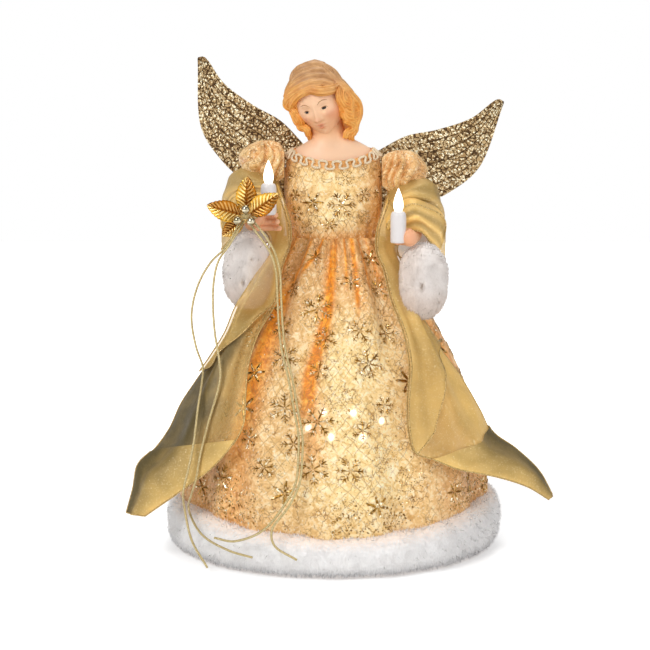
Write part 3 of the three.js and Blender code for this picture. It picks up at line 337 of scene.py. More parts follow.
class Mat:
    """A node material with one Principled shader."""

    def __init__(self, name, color, rough, metal=0.0):
        self.mat = bpy.data.materials.new(name)
        self.mat.use_nodes = True
        self.tree = self.mat.node_tree
        self.bsdf = self.tree.nodes["Principled BSDF"]
        self.set("Base Color", color)
        self.set("Roughness", rough)
        self.set("Metallic", metal)

    def plug(self, socket, value):
        """Links an output to a socket, or sets the socket's value."""
        if hasattr(value, "is_linked"):
            self.tree.links.new(value, socket)
        else:
            socket.default_value = (*value, 1) if socket.type == "RGBA" else value

    def set(self, socket, value):
        self.plug(self.bsdf.inputs[socket], value)

    def node(self, kind, ins=None, **props):
        n = self.tree.nodes.new(kind)
        for key, value in props.items():
            setattr(n, key, value)
        for key, value in (ins or {}).items():
            self.plug(n.inputs[key], value)
        return n

    def math(self, op, a, b=0.0, c=0.0, clamp=False):
        n = self.node("ShaderNodeMath", {0: a, 1: b, 2: c}, operation=op, use_clamp=clamp)
        return n.outputs[0]

    def mul(self, a, b):
        return self.math("MULTIPLY", a, b)

    def add(self, a, b, clamp=False):
        return self.math("ADD", a, b, clamp=clamp)

    def sub(self, a, b):
        return self.math("SUBTRACT", a, b)

    def mul_add(self, a, b, c, clamp=False):
        return self.math("MULTIPLY_ADD", a, b, c, clamp)

    def attr(self, name):
        return self.node("ShaderNodeAttribute", attribute_name=name).outputs["Fac"]

    def coords(self):
        return self.node("ShaderNodeTexCoord").outputs["Object"]

    def uv(self):
        place = self.node("ShaderNodeUVMap", uv_map="mm").outputs[0]
        return self.node("ShaderNodeSeparateXYZ", {0: place}).outputs[:2]

    def noise(self, scale, detail=3.0, rough=0.55, distortion=0.0, output="Fac"):
        ins = {"Vector": self.coords(), "Scale": scale, "Detail": detail, "Roughness": rough}
        return self.node("ShaderNodeTexNoise", {**ins, "Distortion": distortion}).outputs[output]

    def cells(self, scale, feature="F1", vector=None, output="Distance"):
        ins = {"Vector": vector or self.coords(), "Scale": scale}
        return self.node("ShaderNodeTexVoronoi", ins, feature=feature).outputs[output]

    def ramp(self, fac, stops):
        n = self.node("ShaderNodeValToRGB", {"Fac": fac})
        els = n.color_ramp.elements
        while len(els) < len(stops):
            els.new(0.5)
        for e, (pos, col) in zip(els, stops):
            e.position = pos
            e.color = (*col, 1)
        return n.outputs["Color"]

    def level(self, fac, lo, hi, a=0.0, b=1.0):
        """a below lo, b above hi, and smooth between."""
        ins = {"Value": fac, 1: lo, 2: hi, 3: a, 4: b}
        return self.node("ShaderNodeMapRange", ins, interpolation_type="SMOOTHSTEP").outputs[0]

    def mix(self, fac, a, b):
        n = self.node("ShaderNodeMix", {0: fac, 6: a, 7: b}, data_type="RGBA", clamp_factor=True)
        return n.outputs[2]

    def bump(self, height, strength, distance):
        ins = {"Strength": strength, "Distance": distance, "Height": height}
        return self.node("ShaderNodeBump", ins).outputs[0]


def dress_material():
    """Crinkled peach satin with a diamond lattice, brown veins and gold flecks, lit from behind in folds;
    that light, its shade and the glints are painted into its colour and emission.
    """
    m = Mat("dress_satin", (0.74, 0.46, 0.2), 0.46)
    u, v = m.uv()
    crinkle = m.noise(170, 5, 0.62, 1.2)
    patch = m.noise(26, 3)
    wob = m.mul(m.sub(m.noise(90, 3), 0.5), 0.8)
    lines = []
    for sign in (1, -1):
        slant = m.mul_add(v, sign * 100 / LATTICE[1], m.mul(u, 100 / LATTICE[0]))
        f = m.math("FRACT", m.add(slant, wob))
        lines.append(m.math("ABSOLUTE", m.sub(f, 0.5)))
    groove = m.level(m.math("MAXIMUM", *lines), 0.43, 0.485)
    groove = m.mul(groove, m.level(patch, 0.42, 0.6, 0.08, 0.6))
    shift = {0: m.noise(140, 2, 0.5, output="Color"), 1: (0.012, 0.012, 0.012)}
    push = m.node("ShaderNodeVectorMath", shift, operation="MULTIPLY").outputs[0]
    bent = m.node("ShaderNodeVectorMath", {0: m.coords(), 1: push}, operation="ADD").outputs[0]
    vein = m.level(m.cells(130, "DISTANCE_TO_EDGE", bent), 0.05, 0.012)
    vein = m.mul(vein, m.level(m.noise(75, 2), 0.46, 0.58, 0.0, 0.9))
    line = m.math("MAXIMUM", groove, vein)
    glow = m.attr("glow")
    # The crinkle that bumps the cloth also sets its colour: painted shade in the creases, painted highlight
    # on the crests.
    peach = m.ramp(crinkle, [(0.3, (0.5, 0.23, 0.06)), (0.5, (0.78, 0.46, 0.18)), (0.68, (0.95, 0.72, 0.41))])
    cream = m.ramp(crinkle, [(0.3, (0.7, 0.43, 0.13)), (0.5, (0.95, 0.72, 0.34)), (0.68, (1.0, 0.94, 0.68))])
    stops = [(0.36, (0.38, 0.09, 0.002)), (0.5, (0.68, 0.21, 0.005)), (0.64, (0.9, 0.46, 0.05))]
    orange = m.ramp(crinkle, stops)
    # Painted light: paler over the front and round the lamps behind the cloth, broken by random patches.
    pale = m.mul_add(m.sub(patch, 0.5), 1.3, m.attr("pale"), clamp=True)
    lit = m.mix(glow, m.mix(pale, peach, cream), orange)
    lined = m.mix(line, lit, (0.32, 0.15, 0.04))
    # Painted glints, kept out of the glowing folds.
    glint = m.mul(m.level(m.noise(520, 2, 0.6), 0.6, 0.68), m.level(glow, 0.2, 0.9, 1.0, 0.0))
    fleck = m.level(m.noise(420, 2, 0.6), 0.62, 0.69)
    flecked = m.mix(m.mul(fleck, 0.8), lined, (0.5, 0.27, 0.06))
    m.set("Base Color", m.mix(m.mul(glint, 0.6), flecked, (1.0, 0.93, 0.72)))
    m.set("Metallic", m.mul(fleck, 0.6))
    m.set("Roughness", m.level(m.noise(300), 0.3, 0.8, 0.34, 0.6))
    h = m.sub(crinkle, m.mul(line, 0.35))
    m.set("Normal", m.bump(h, 0.6, 0.002))
    # Painted glow in the emission: a little more where the cloth is pale, orange in the glowing folds,
    # near-white over the lamps.
    soft = m.mix(pale, (0.08, 0.036, 0.008), (0.16, 0.1, 0.032))
    warm_light = m.mix(glow, soft, (0.36, 0.11, 0.002))
    m.set("Emission Color", m.mix(m.attr("spot"), warm_light, (1.0, 0.96, 0.84)))
    m.set("Emission Strength", m.mul_add(m.attr("spot"), 2.6, 0.55))
    m.set("Sheen Weight", 0.1)
    return m.mat


def foil_material():
    m = Mat("gold_foil_print", (0.85, 0.62, 0.25), 0.28, 1.0)
    n = m.noise(320, 3, 0.65)
    # Random dark brown and gold in the foil, with near-white flecks that are painted glints.
    stops = [(0.36, (0.16, 0.07, 0.012)), (0.52, (0.5, 0.28, 0.06)), (0.62, (1.0, 0.94, 0.74))]
    m.set("Base Color", m.ramp(n, stops))
    m.set("Roughness", m.level(m.noise(500), 0.3, 0.7, 0.15, 0.4))
    m.set("Normal", m.bump(m.noise(600, 2), 0.5, 0.0008))
    return m.mat


def organza_material(name, alpha, light, dark):
    """Sheer metallic organza: fine weave and sparkle; tone runs from painted shade to painted light, layer
    adds cover, and lit sets a painted glow.
    """
    m = Mat(name, light, 0.42, 0.15)
    weave = []
    for along in m.uv():
        f = m.math("FRACT", m.mul(along, 100 / WEAVE))
        weave.append(m.math("ABSOLUTE", m.sub(f, 0.5)))
    weave = m.add(*weave)
    cloud = m.mul(m.sub(m.noise(34, 4), 0.5), 0.8)
    cloth = m.mix(m.add(m.attr("tone"), cloud, clamp=True), dark, light)
    spark = m.level(m.cells(900, output="Color"), 0.8, 0.95)
    # Painted glints, stronger where tone is light.
    glint = m.mul(m.level(m.noise(700, 1), 0.56, 0.68), m.level(m.attr("tone"), 0, 0.8, 0.1, 0.7))
    m.set("Base Color", m.mix(m.mul(glint, m.add(spark, 0.35)), cloth, (0.95, 0.82, 0.5)))
    m.set("Metallic", m.add(m.mul(glint, 0.5), 0.25))
    m.set("Roughness", m.level(weave, 0.0, 1.0, 0.34, 0.52))
    h = m.mul_add(weave, 0.5, m.mul(m.noise(200, 3), 0.6))
    m.set("Normal", m.bump(h, 0.3, 0.0006))
    cover = m.add(m.attr("layer"), alpha)
    m.set("Alpha", m.mul_add(weave, 0.1, cover, clamp=True))
    m.set("Emission Color", (0.9, 0.52, 0.12))
    m.set("Emission Strength", m.mul(m.attr("lit"), 0.5))
    return m.mat


def fur_material():
    """White plush, painted peach where warm light from the dress falls on it, painted brown shade in a
    pinched slit, painted grey shade towards the bottom, and a faint painted glow, strongest at the strand
    tips.
    """
    m = Mat("white_fur", (0.92, 0.9, 0.89), 0.9)
    soft = m.ramp(m.noise(130, 3), [(0.3, (0.8, 0.78, 0.77)), (0.6, (0.89, 0.88, 0.87))])
    pile = m.mix(m.mul(m.attr("tone"), 0.7), soft, (0.8, 0.79, 0.785))
    # Painted warm light from the dress, then painted shade in grey and in brown.
    dress_lit = m.mix(m.mul(m.attr("warm_light"), 0.8), pile, (0.93, 0.66, 0.46))
    low = m.mix(m.mul(m.attr("low"), 0.6), dress_lit, (0.42, 0.41, 0.42))
    colour = m.mix(m.mul(m.attr("slit"), 0.8), low, (0.34, 0.22, 0.13))
    m.set("Base Color", colour)
    m.set("Emission Color", colour)
    # Painted glow, strongest at the strand tips.
    m.set("Emission Strength", m.mul_add(m.attr("tone"), 0.2, 0.05))
    m.set("Sheen Weight", 0.2)
    m.set("Normal", m.bump(m.noise(400, 3), 0.15, 0.001))
    return m.mat


def skin_material():
    m = Mat("painted_porcelain", (0.86, 0.5, 0.28), 0.42)
    base = m.ramp(m.noise(40, 2), [(0.35, (0.84, 0.43, 0.2)), (0.65, (0.9, 0.5, 0.26))])
    light = m.mix(m.mul(m.attr("pale"), 0.8), base, (0.9, 0.62, 0.42))
    blush = m.mix(m.mul(m.attr("blush"), 0.55), light, (0.8, 0.3, 0.17))
    lips = m.mix(m.attr("lip"), blush, (0.75, 0.24, 0.13))
    m.set("Base Color", m.mix(m.mul(m.attr("shade"), 0.5), lips, (0.5, 0.25, 0.12)))
    m.set("Roughness", m.level(m.noise(300), 0.3, 0.7, 0.4, 0.55))
    m.set("Normal", m.bump(m.noise(500, 2), 0.05, 0.0004))
    m.set("Subsurface Weight", 0.06)
    m.set("Subsurface Radius", (0.004, 0.002, 0.001))
    return m.mat


def hair_material():
    m = Mat("moulded_hair", (0.7, 0.4, 0.14), 0.45)
    n = m.noise(140, 4)
    tan = m.ramp(n, [(0.3, (0.47, 0.23, 0.085)), (0.7, (0.68, 0.39, 0.17))])
    gold = m.ramp(n, [(0.3, (0.78, 0.29, 0.035)), (0.7, (0.97, 0.54, 0.14))])
    # groove is painted shade in the hollows between the moulded strands; tone makes the lower hair a brighter
    # gold with a faint painted glow.
    deep = m.mix(m.attr("tone"), (0.3, 0.13, 0.04), (0.55, 0.16, 0.012))
    m.set("Base Color", m.mix(m.mul(m.attr("groove"), 0.5), m.mix(m.attr("tone"), tan, gold), deep))
    m.set("Emission Color", (1.0, 0.4, 0.06))
    m.set("Emission Strength", m.mul(m.attr("tone"), 0.05))
    m.set("Normal", m.bump(m.noise(260, 3), 0.2, 0.0008))
    return m.mat


def wing_material():
    """Antique gold over a coarse lace grain, dark in the crevices."""
    m = Mat("antique_gold", (0.6, 0.48, 0.25), 0.4, 0.6)
    grain = m.level(m.cells(430), 0.05, 0.75, 1, 0)
    lace = m.level(m.cells(230, "DISTANCE_TO_EDGE"), 0.0, 0.12)
    fac = m.mul_add(grain, 0.6, m.mul(lace, 0.36))
    fac = m.mul_add(m.sub(m.noise(55, 4), 0.5), 0.6, fac)
    fac = m.mul(fac, m.mul_add(m.attr("tone"), -0.7, 1.0))
    stops = [(0.14, (0.075, 0.035, 0.01)), (0.34, (0.34, 0.21, 0.085)), (0.56, (0.66, 0.5, 0.27)),
             (0.8, (0.95, 0.87, 0.64))]
    m.set("Base Color", m.ramp(fac, stops))
    m.set("Roughness", m.level(fac, 0.2, 0.9, 0.55, 0.26))
    m.set("Normal", m.bump(fac, 0.8, 0.0016))
    return m.mat


def metal_material(name, low, mid, high, rough, scale=200):
    m = Mat(name, mid, rough, 1.0)
    n = m.noise(scale, 3)
    m.set("Base Color", m.ramp(n, [(0.3, low), (0.5, mid), (0.7, high)]))
    m.set("Roughness", m.level(m.noise(scale * 2), 0.3, 0.7, rough * 0.7, rough * 1.4))
    m.set("Normal", m.bump(m.noise(scale * 1.5, 2), 0.12, 0.0006))
    return m.mat


def leaf_material():
    """Stamped foil leaf with painted light: one half bright, with pale painted highlights on its ribs, the
    other in painted shade, a deep orange gold.
    """
    m = Mat("leaf_gold", (0.58, 0.3, 0.04), 0.28, 1.0)
    # half: one half in painted light, the other in painted shade; rib: painted highlights, stronger on the
    # lit half.
    half = m.attr("half")
    foil = m.mix(half, (0.3, 0.1, 0.005), (0.6, 0.32, 0.04))
    ribbed = m.mix(m.mul(m.attr("rib"), m.level(half, 0.0, 1.0, 0.3, 0.9)), foil, (0.95, 0.72, 0.3))
    m.set("Base Color", m.mix(m.level(m.noise(220, 3), 0.3, 0.7, 0.0, 0.35), ribbed, (0.3, 0.12, 0.012)))
    m.set("Roughness", m.level(m.noise(400), 0.3, 0.7, 0.2, 0.4))
    m.set("Normal", m.bump(m.noise(300, 2), 0.12, 0.0006))
    return m.mat


def thread_material(name, low, high, metal, rough, scale=1500):
    """Twisted thread with glitter."""
    m = Mat(name, high, rough, metal)
    n = m.noise(scale, 2, 0.7)
    # The near-white top stop gives painted glints on the thread.
    m.set("Base Color", m.ramp(n, [(0.35, low), (0.62, high), (0.75, (1.0, 0.95, 0.75))]))
    m.set("Roughness", m.level(m.noise(scale * 0.7), 0.3, 0.7, rough * 0.6, min(1.0, rough * 1.5)))
    m.set("Normal", m.bump(n, 0.7, 0.0006))
    return m.mat


def plastic_material(name, color, rough, speck=0.06):
    m = Mat(name, color, rough)
    dim = tuple(c * (1 - speck) for c in color)
    m.set("Base Color", m.mix(m.noise(150, 3), dim, color))
    m.set("Roughness", m.level(m.noise(400), 0.3, 0.7, rough * 0.8, min(1.0, rough * 1.2)))
    m.set("Normal", m.bump(m.noise(700, 2), 0.06, 0.0004))
    return m.mat


def lamp_material(name, strength):
    m = Mat(name, (1.0, 0.97, 0.9), 0.12)
    glow = m.ramp(m.noise(90, 1), [(0.3, (1.0, 0.9, 0.72)), (0.7, (1.0, 0.95, 0.84))])
    m.set("Emission Color", glow)
    m.set("Emission Strength", strength)
    m.set("Normal", m.bump(m.noise(200, 1), 0.03, 0.0004))
    return m.mat


DRESS = dress_material()
FOIL = foil_material()
SHEER = organza_material("organza_sheer", 0.42, (0.84, 0.55, 0.17), (0.11, 0.078, 0.022))
FUR = fur_material()
SKIN = skin_material()
HAIR = hair_material()
WING = wing_material()
LEAF_GOLD = leaf_material()
BERRY = metal_material("berry_mirror", (0.16, 0.13, 0.08), (0.36, 0.31, 0.2), (0.7, 0.65, 0.52), 0.05, 80)
GLITTER = thread_material("glitter_edge", (0.3, 0.18, 0.05), (0.7, 0.5, 0.2), 0.6, 0.35, 1100)
CORD = thread_material("gold_cord_thread", (0.38, 0.28, 0.1), (0.68, 0.56, 0.3), 0.45, 0.4)
BRAID = thread_material("cream_braid_thread", (0.66, 0.48, 0.27), (0.9, 0.79, 0.6), 0.05, 0.6)
CANDLE = plastic_material("candle_white", (0.8, 0.76, 0.75), 0.35)
FLAME = lamp_material("flame_glass", 2.2)
LAMP = lamp_material("string_lamp_glass", 1.0)
STEEL = metal_material("drawn_wire", (0.4, 0.4, 0.4), (0.55, 0.55, 0.54), (0.7, 0.7, 0.69), 0.35)
FORM = plastic_material("moulded_form", (0.86, 0.82, 0.73), 0.6)
BROW = plastic_material("brow_paint", (0.42, 0.2, 0.07), 0.5, 0.2)
INK_DARK = plastic_material("eye_paint", (0.018, 0.008, 0.004), 0.6, 0.2)
EYE_WHITE = plastic_material("eye_white", (0.8, 0.58, 0.4), 0.3)


# Skirt. turn is degrees from the front, towards the figure's left. fall is 0 at the waist and 1 at the floor.

PLEATS = 26  # gathers at the waist
CLOTH_TURN = 0.95  # uv per radian round the skirt
# Lamps that shine through: x and height
HOT_SPOTS = [(-8, 126), (15, 126), (-2, 108), (22, 108), (-21, 114), (40, 118)]
# Pleats that glow below the waist: turn at the waist, turn at the lower end, fall, half width, strength
PLEAT_LINES = [
    (-11, -30, 0.13, 2.2, 0.9), (-24, -40, 0.2, 2.4, 0.7), (12, 9, 0.18, 1.6, 0.7), (21, 14, 0.27, 2.0, 0.9),
    (31, 27, 0.2, 1.6, 0.6), (41, 38, 0.22, 1.8, 0.5), (-48, -56, 0.4, 5.0, 0.6),
]
BACK_PLEATS = -140, -100, 75, 115, 160  # glowing pleats at the sides and the back


def skirt_fall(z):
    return np.clip((WAIST_Z - z) / WAIST_Z, 0, 1)


def valley_drift(fall):
    return FOLD_SWEEP * np.minimum(1, fall / FOLD_SETTLE)


def fold_valley(turn, fall):
    return (0.5 + 0.5 * np.cos(np.radians(FOLDS * (turn - FOLD_START + valley_drift(fall))))) ** 2


def side_valley(turn, fall):
    """One more fold beside the right drape."""
    return gauss(turn - SIDE_FOLD_TURN, SIDE_FOLD_WIDTH) * np.sin(math.pi * fall)


def skirt_base(turn, z, clear):
    """The unfolded bell, in the same form as the solid."""
    fall = skirt_fall(z)
    bell = np.sin(np.minimum(1, BELL_FULLNESS * fall) * math.pi / 2)
    a = np.radians(turn)
    w = lerp(WAIST_W, HEM_W, bell) + clear
    d = lerp(WAIST_D, HEM_D, bell) + clear
    return np.stack([w * np.sin(a), -d * np.cos(a), z + 0 * w], -1)


def skirt_clear(turn, z):
    """How far the cloth stands off the unfolded bell."""
    fall = skirt_fall(z)
    deep = FOLD_DEPTH * fold_valley(turn, fall) * np.sin(math.pi * (0.04 + 0.84 * fall))
    t = np.radians(turn)
    small = RIPPLE_DEPTH * (0.5 + 0.5 * np.sin(RIPPLES * t - RIPPLE_LEAN * fall)) * np.sin(math.pi * fall)
    gather = 2.8 * np.exp(-fall * 5) * waist_pleat(t)
    crease = 0.8 * ripple(t * 14, fall * 16, 5, 9) * (0.3 + fall)
    return gather + crease - deep - small - SIDE_FOLD_DEPTH * side_valley(turn, fall)


def waist_pleat(t):
    return np.cos(PLEATS * t + 2 * np.sin(5 * t))


def skirt_point(turn, z, lift=0.0):
    return skirt_base(turn, z, skirt_clear(turn, z) + lift)


def fur_top(turn):
    return lerp(FUR_FRONT, FUR_SIDE, np.sin(np.radians(turn)) ** 2)


def skirt_glow(turn, z):
    """Light from behind: how orange the cloth is, how pale, and the hot spots over the lamps."""
    fall = skirt_fall(z)
    path = FOLD_START - valley_drift(fall) + 3 * smooth(0.05, 0.25, fall)
    main = np.minimum(1, 1.4 * gauss(turn - path, 3.8))
    glow = main * smooth(-0.05, 0.06, fall) * (1 - smooth(0.46, 0.6, fall))
    low = smooth(0.38, 0.5, fall) * (1 - smooth(0.58, 0.76, fall))
    glow = np.maximum(glow, 0.5 * gauss(turn - path - 3, 4.5) * low)
    beside = gauss(turn - SIDE_FOLD_TURN + 3, 8) * smooth(0.08, 0.2, fall)
    glow = np.maximum(glow, beside * (1 - 0.6 * smooth(0.45, 0.7, fall)))
    for top, end, reach, half, strength in PLEAT_LINES:
        line = gauss(turn - lerp(top, end, fall / reach), half) * smooth(reach, 0.6 * reach, fall)
        glow = np.maximum(glow, np.minimum(1, 1.3 * strength * line))
    for back in BACK_PLEATS:
        glow = np.maximum(glow, 0.6 * gauss(turn - back + 20 * fall, 4) * smooth(0.6, 0.3, fall))
    glow = np.maximum(glow, 0.25 * gauss(z - 58, 24) * smooth(22, 60, np.abs(turn)))
    glow = np.maximum(glow, 0.75 * gauss(np.abs(turn) - 72, 13) * gauss(z - 150, 48))
    glow = np.maximum(glow, 0.4 * gauss(turn - 18, 6) * gauss(z - 208, 13))
    pale = gauss(turn - 10, 34) * smooth(0.08, 0.36, fall) * (1 - 0.45 * smooth(0.72, 0.9, fall))
    here = skirt_base(turn, z, 0)
    spot = np.zeros_like(glow)
    for x, height in HOT_SPOTS:
        away = np.hypot(here[..., 0] - x, z - height) + 400 * (np.abs(turn) > 80)
        spot = np.maximum(spot, gauss(away, 2.6))
        pale = np.maximum(pale, gauss(away, 17))
    return np.clip(glow, 0, 1), np.clip(pale, 0, 1), np.clip(spot, 0, 1)


def make_skirt():
    cols, rows = ((630, 120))
    turn = turns(rows, cols)
    v = shares(rows)
    z = lerp(WAIST_Z + 0.4, fur_top(turn) - 5, v)
    pts = skirt_point(turn, z)
    glow, pale, spot = skirt_glow(turn, z)
    arc = lengths_along(pts[:, cols // 2])[:, None]
    uv = np.stack([np.radians(turn) * CLOTH_TURN, (arc + 0 * turn) / 100], -1)
    obj = grid("skirt_cloth", pts, uv=uv, flip=True, attrs={"glow": glow, "pale": pale, "spot": spot})
    quads_close(obj, rows, cols)
    finish_piece(obj, "figure", "dress_fabric", DRESS, "skirt")


def quads_close(obj, rows, cols):
    """Joins the last column to the first with its own row of faces."""
    bm = bmesh.new()
    bm.from_mesh(obj.data)
    bm.verts.ensure_lookup_table()
    layer = bm.loops.layers.uv["mm"]
    du = 2 * math.pi * CLOTH_TURN / cols
    for j in range(rows - 1):
        a, b = bm.verts[j * cols + cols - 1], bm.verts[j * cols]
        c, d = bm.verts[(j + 1) * cols], bm.verts[(j + 1) * cols + cols - 1]
        near = {vert: next(iter(vert.link_loops))[layer].uv.copy() for vert in (a, d)}
        face = bm.faces.new((d, c, b, a))
        face.smooth = True
        for loop in face.loops:
            if loop.vert in near:
                loop[layer].uv = near[loop.vert]
            else:
                other = a if loop.vert is b else d
                loop[layer].uv = near[other] + Vector((du, 0))
    bm.to_mesh(obj.data)
    bm.free()


# Foil print: snowflakes and dots laid on a surface given by place(x, y, lift), x and y in mm on the cloth

def flake_strokes(kind, size):
    """Strokes (x0, y0, x1, y1, width) of one flake in its plane. Kind 0 is branched, 1 plain, 2 dotted."""
    out = []
    for k in range(6):
        a = k * math.pi / 3
        c, s = math.cos(a), math.sin(a)

        def at(along, side, c=c, s=s):
            return along * c - side * s, along * s + side * c

        if kind == 0:
            out.append((*at(0.06 * size, 0), *at(size, 0), 0.08 * size + 0.25))
            for along, reach in ((0.45, 0.26), (0.7, 0.22)):
                for sign in (-1, 1):
                    end = at((along + reach) * size, sign * reach * size)
                    out.append((*at(along * size, 0), *end, 0.06 * size + 0.2))
        elif kind == 1:
            out.append((*at(0.1 * size, 0), *at(size, 0), 0.2 * size))
            out.append((*at(0.3 * size, 0), *at(0.5 * size, 0.12 * size), 0.1 * size))
        else:
            for along in (0.25, 0.45, 0.65, 0.85, 1.05):
                out.append((*at(along * size - 0.4, 0), *at(along * size + 0.4, 0), 0.9))
            for along, reach in ((0.55, 0.25), (0.8, 0.25)):
                for sign in (-1, 1):
                    x, y = at((along + reach) * size, sign * reach * size)
                    out.append((x - 0.35, y, x + 0.35, y, 0.8))
    return out


def stroke_mesh(strokes, place):
    """Thin ribbons along the strokes, pointed at the ends."""
    pile = Pile()
    for x0, y0, x1, y1, w in strokes:
        d = np.array([x1 - x0, y1 - y0])
        length = max(np.linalg.norm(d), 1e-6)
        d /= length
        n = np.array([-d[1], d[0]])
        steps = max(2, int(length / 1.6))
        t = np.linspace(0, 1, steps + 1)
        half = 0.5 * w * np.clip(np.minimum(t * 4, (1 - t) * 4) + 0.35, 0, 1)
        mid = np.array([x0, y0]) + np.outer(t, d * length)
        left, right = mid + n * half[:, None], mid - n * half[:, None]
        ridge = place(mid[:, 0], mid[:, 1], 0.75)
        pts = np.stack([place(left[:, 0], left[:, 1], 0.4), ridge, place(right[:, 0], right[:, 1], 0.4)], 1)
        pile.add(pts.reshape(-1, 3), grid_quads(steps + 1, 3))
    return pile


def skirt_place(turn0, z0, spin):
    c, s = math.cos(spin), math.sin(spin)
    r = np.linalg.norm(skirt_base(np.array(turn0), np.array(z0), 0)[:2])

    def place(x, y, lift):
        x, y = np.asarray(x, float), np.asarray(y, float)
        gx, gy = c * x - s * y, s * x + c * y
        return skirt_point(turn0 + np.degrees(gx / r), np.minimum(z0 + gy / 1.08, WAIST_Z), lift)

    return place


def scatter(count, low, high, gap, seed, place):
    """Seeded (turn, height) places in a box, kept apart by gap where place puts them."""
    rng = np.random.default_rng(seed)
    kept = []
    for _ in range(count * 40):
        p = rng.uniform(low, high)
        if all(np.linalg.norm(place(p) - place(q)) > gap for q in kept):
            kept.append(p)
        if len(kept) == count:
            break
    return kept


def make_print():
    rng = np.random.default_rng(11)
    pile = Pile()
    seats = scatter(130, [-180, 52], [180, 246], 25, 3, lambda p: skirt_base(*p, 0))
    for turn, z in seats:
        size = rng.uniform(8.0, 13.0) if z < 215 else rng.uniform(5.5, 8.0)
        place = skirt_place(turn, z, rng.uniform(0, 1.05))
        made = stroke_mesh(flake_strokes(int(rng.choice([0, 0, 1, 2])), size), place)
        pile.add(np.vstack(made.verts), np.vstack(made.quads))
    dots = []
    for _ in range(900):
        dots.append((rng.uniform(-180, 180), rng.uniform(48, 240)))
    for _ in range(2400):
        t = rng.uniform(-180, 180)
        if math.sin(math.radians(t) * 7) + 0.5 * math.sin(math.radians(t) * 17) > -0.25:
            dots.append((t, fur_top(t) + abs(rng.normal(0, 13)) + 1))
    dots = np.array(dots)
    radius = rng.uniform(0.35, 0.85, len(dots))
    a = np.linspace(0, 2 * math.pi, 6, endpoint=False)
    r = np.linalg.norm(skirt_base(dots[:, 0], dots[:, 1], 0)[:, :2], axis=1)
    turn = dots[:, :1] + np.degrees(radius[:, None] * np.cos(a) / r[:, None])
    z = np.minimum(dots[:, 1:] + radius[:, None] * np.sin(a), WAIST_Z)
    ring = skirt_point(turn, z, 0.35)
    top = skirt_point(dots[:, 0], dots[:, 1], 0.7)
    for k in range(len(dots)):
        pile.add(np.vstack([ring[k], top[k]]), tris=[[i, (i + 1) % 6, 6] for i in range(6)])
    obj = pile.make("skirt_foil_print", smooth_faces=False)
    finish_piece(obj, "figure", "gold_foil", FOIL)


# Bodice, braid, shoulders

LARGE_FLAKES = {(10.0, 283.0): (0, 11.0), (-24.0, 285.0): (1, 8.5)}  # (turn, height) to kind and size
BODICE_TURN = 0.38  # uv per radian round the bodice


def body_section(z):
    """Half width and half depth of the torso form and the shoulder plate."""
    top = PLATE_Z - SEAT
    stations = np.array([
        [CONE_H, 36, 27], [lerp(CONE_H, top, 0.6), 38, 29], [top + 10.5, 37, 21], [top + 22.5, 35.72, 18.06],
        [top + 30, 28.12, 14.28], [top + 34.5, 15.96, 12.18], [top + 40.5, 10.5, 10.5],
    ])
    z = np.asarray(z, float)
    k = np.clip(np.searchsorted(stations[:, 0], z), 1, len(stations) - 1)
    lo, hi = stations[k - 1], stations[k]
    s = np.clip((z - lo[..., 0]) / (hi[..., 0] - lo[..., 0]), 0, 1)
    e = 0.5 * s + 0.5 * s * s * (3 - 2 * s)
    return lerp(lo[..., 1], hi[..., 1], e), lerp(lo[..., 2], hi[..., 2], e)


def body_point(turn, z, clear):
    w, d = body_section(z)
    a = np.radians(turn)
    return np.stack([(w + clear) * np.sin(a), -(d + clear) * np.cos(a), z + 0 * w], -1)


def neckline(turn):
    off_front = np.abs((np.asarray(turn, float) + 180) % 360 - 180)
    rise = np.sin(np.radians(np.minimum(off_front, 90))) ** 2
    return PLATE_Z + NECK_TOP - NECK_DROP * (1 - rise)


def bodice_lift(turn, z):
    t = np.radians(turn)
    low = gauss(z - 256, 9)
    return BODICE_CLEAR + 0.5 * ripple(t * 9, z * 0.16, 21, 8) + 0.7 * low * np.cos(PLEATS * t) - 0.8 * low


def make_bodice():
    cols, rows = 240, 70
    turn = np.linspace(-180, 180, cols + 1)[None] * np.ones((rows, 1))
    v = shares(rows)
    z = lerp(CONE_H + 5.5, neckline(turn), v)
    pts = body_point(turn, z, bodice_lift(turn, z))
    uv = np.stack([np.radians(turn) * BODICE_TURN, z / 100], -1)
    # Painted orange shade low at the sides and in a band under the braid, a faint orange band at the waist
    # seam, and painted light over the upper front.
    low_side = gauss(np.abs(turn) - 66, 24) * smooth(312, 268, z)
    shade_under_braid = smooth(9, 5, neckline(turn) - z)
    glow = np.maximum(np.maximum(0.45 * low_side, 0.55 * shade_under_braid), 0.3 * gauss(z - 256, 5))
    pale = 0.9 * gauss(turn, 55) * smooth(256, 275, z)
    obj = grid("bodice_cloth", pts, uv=uv, attrs={"glow": glow, "pale": pale, "spot": 0 * glow})
    finish_piece(obj, "figure", "dress_fabric", DRESS, "bodice")
    rng = np.random.default_rng(31)
    pile = Pile()
    seats = scatter(30, [-180, 264], [180, 306], 14, 8, lambda p: body_point(*p, 3))
    seats = [p for p in seats if all(math.dist(p, q) > 16 for q in LARGE_FLAKES)]
    for turn0, z0 in seats + list(LARGE_FLAKES):
        w, d = body_section(z0)

        def place(x, y, lift, turn0=turn0, z0=z0, r=float(w + d) / 2 + 3):
            tt, zz = turn0 + np.degrees(np.asarray(x) / r), z0 + np.asarray(y, float)
            return body_point(tt, zz, bodice_lift(tt, zz) + lift)

        kind, size = LARGE_FLAKES.get((turn0, z0), (int(rng.choice([0, 1, 2])), rng.uniform(4, 6.8)))
        made = stroke_mesh(flake_strokes(kind, size), place)
        pile.add(np.vstack(made.verts), np.vstack(made.quads))
    finish_piece(pile.make("bodice_foil_print", False), "figure", "gold_foil", FOIL)


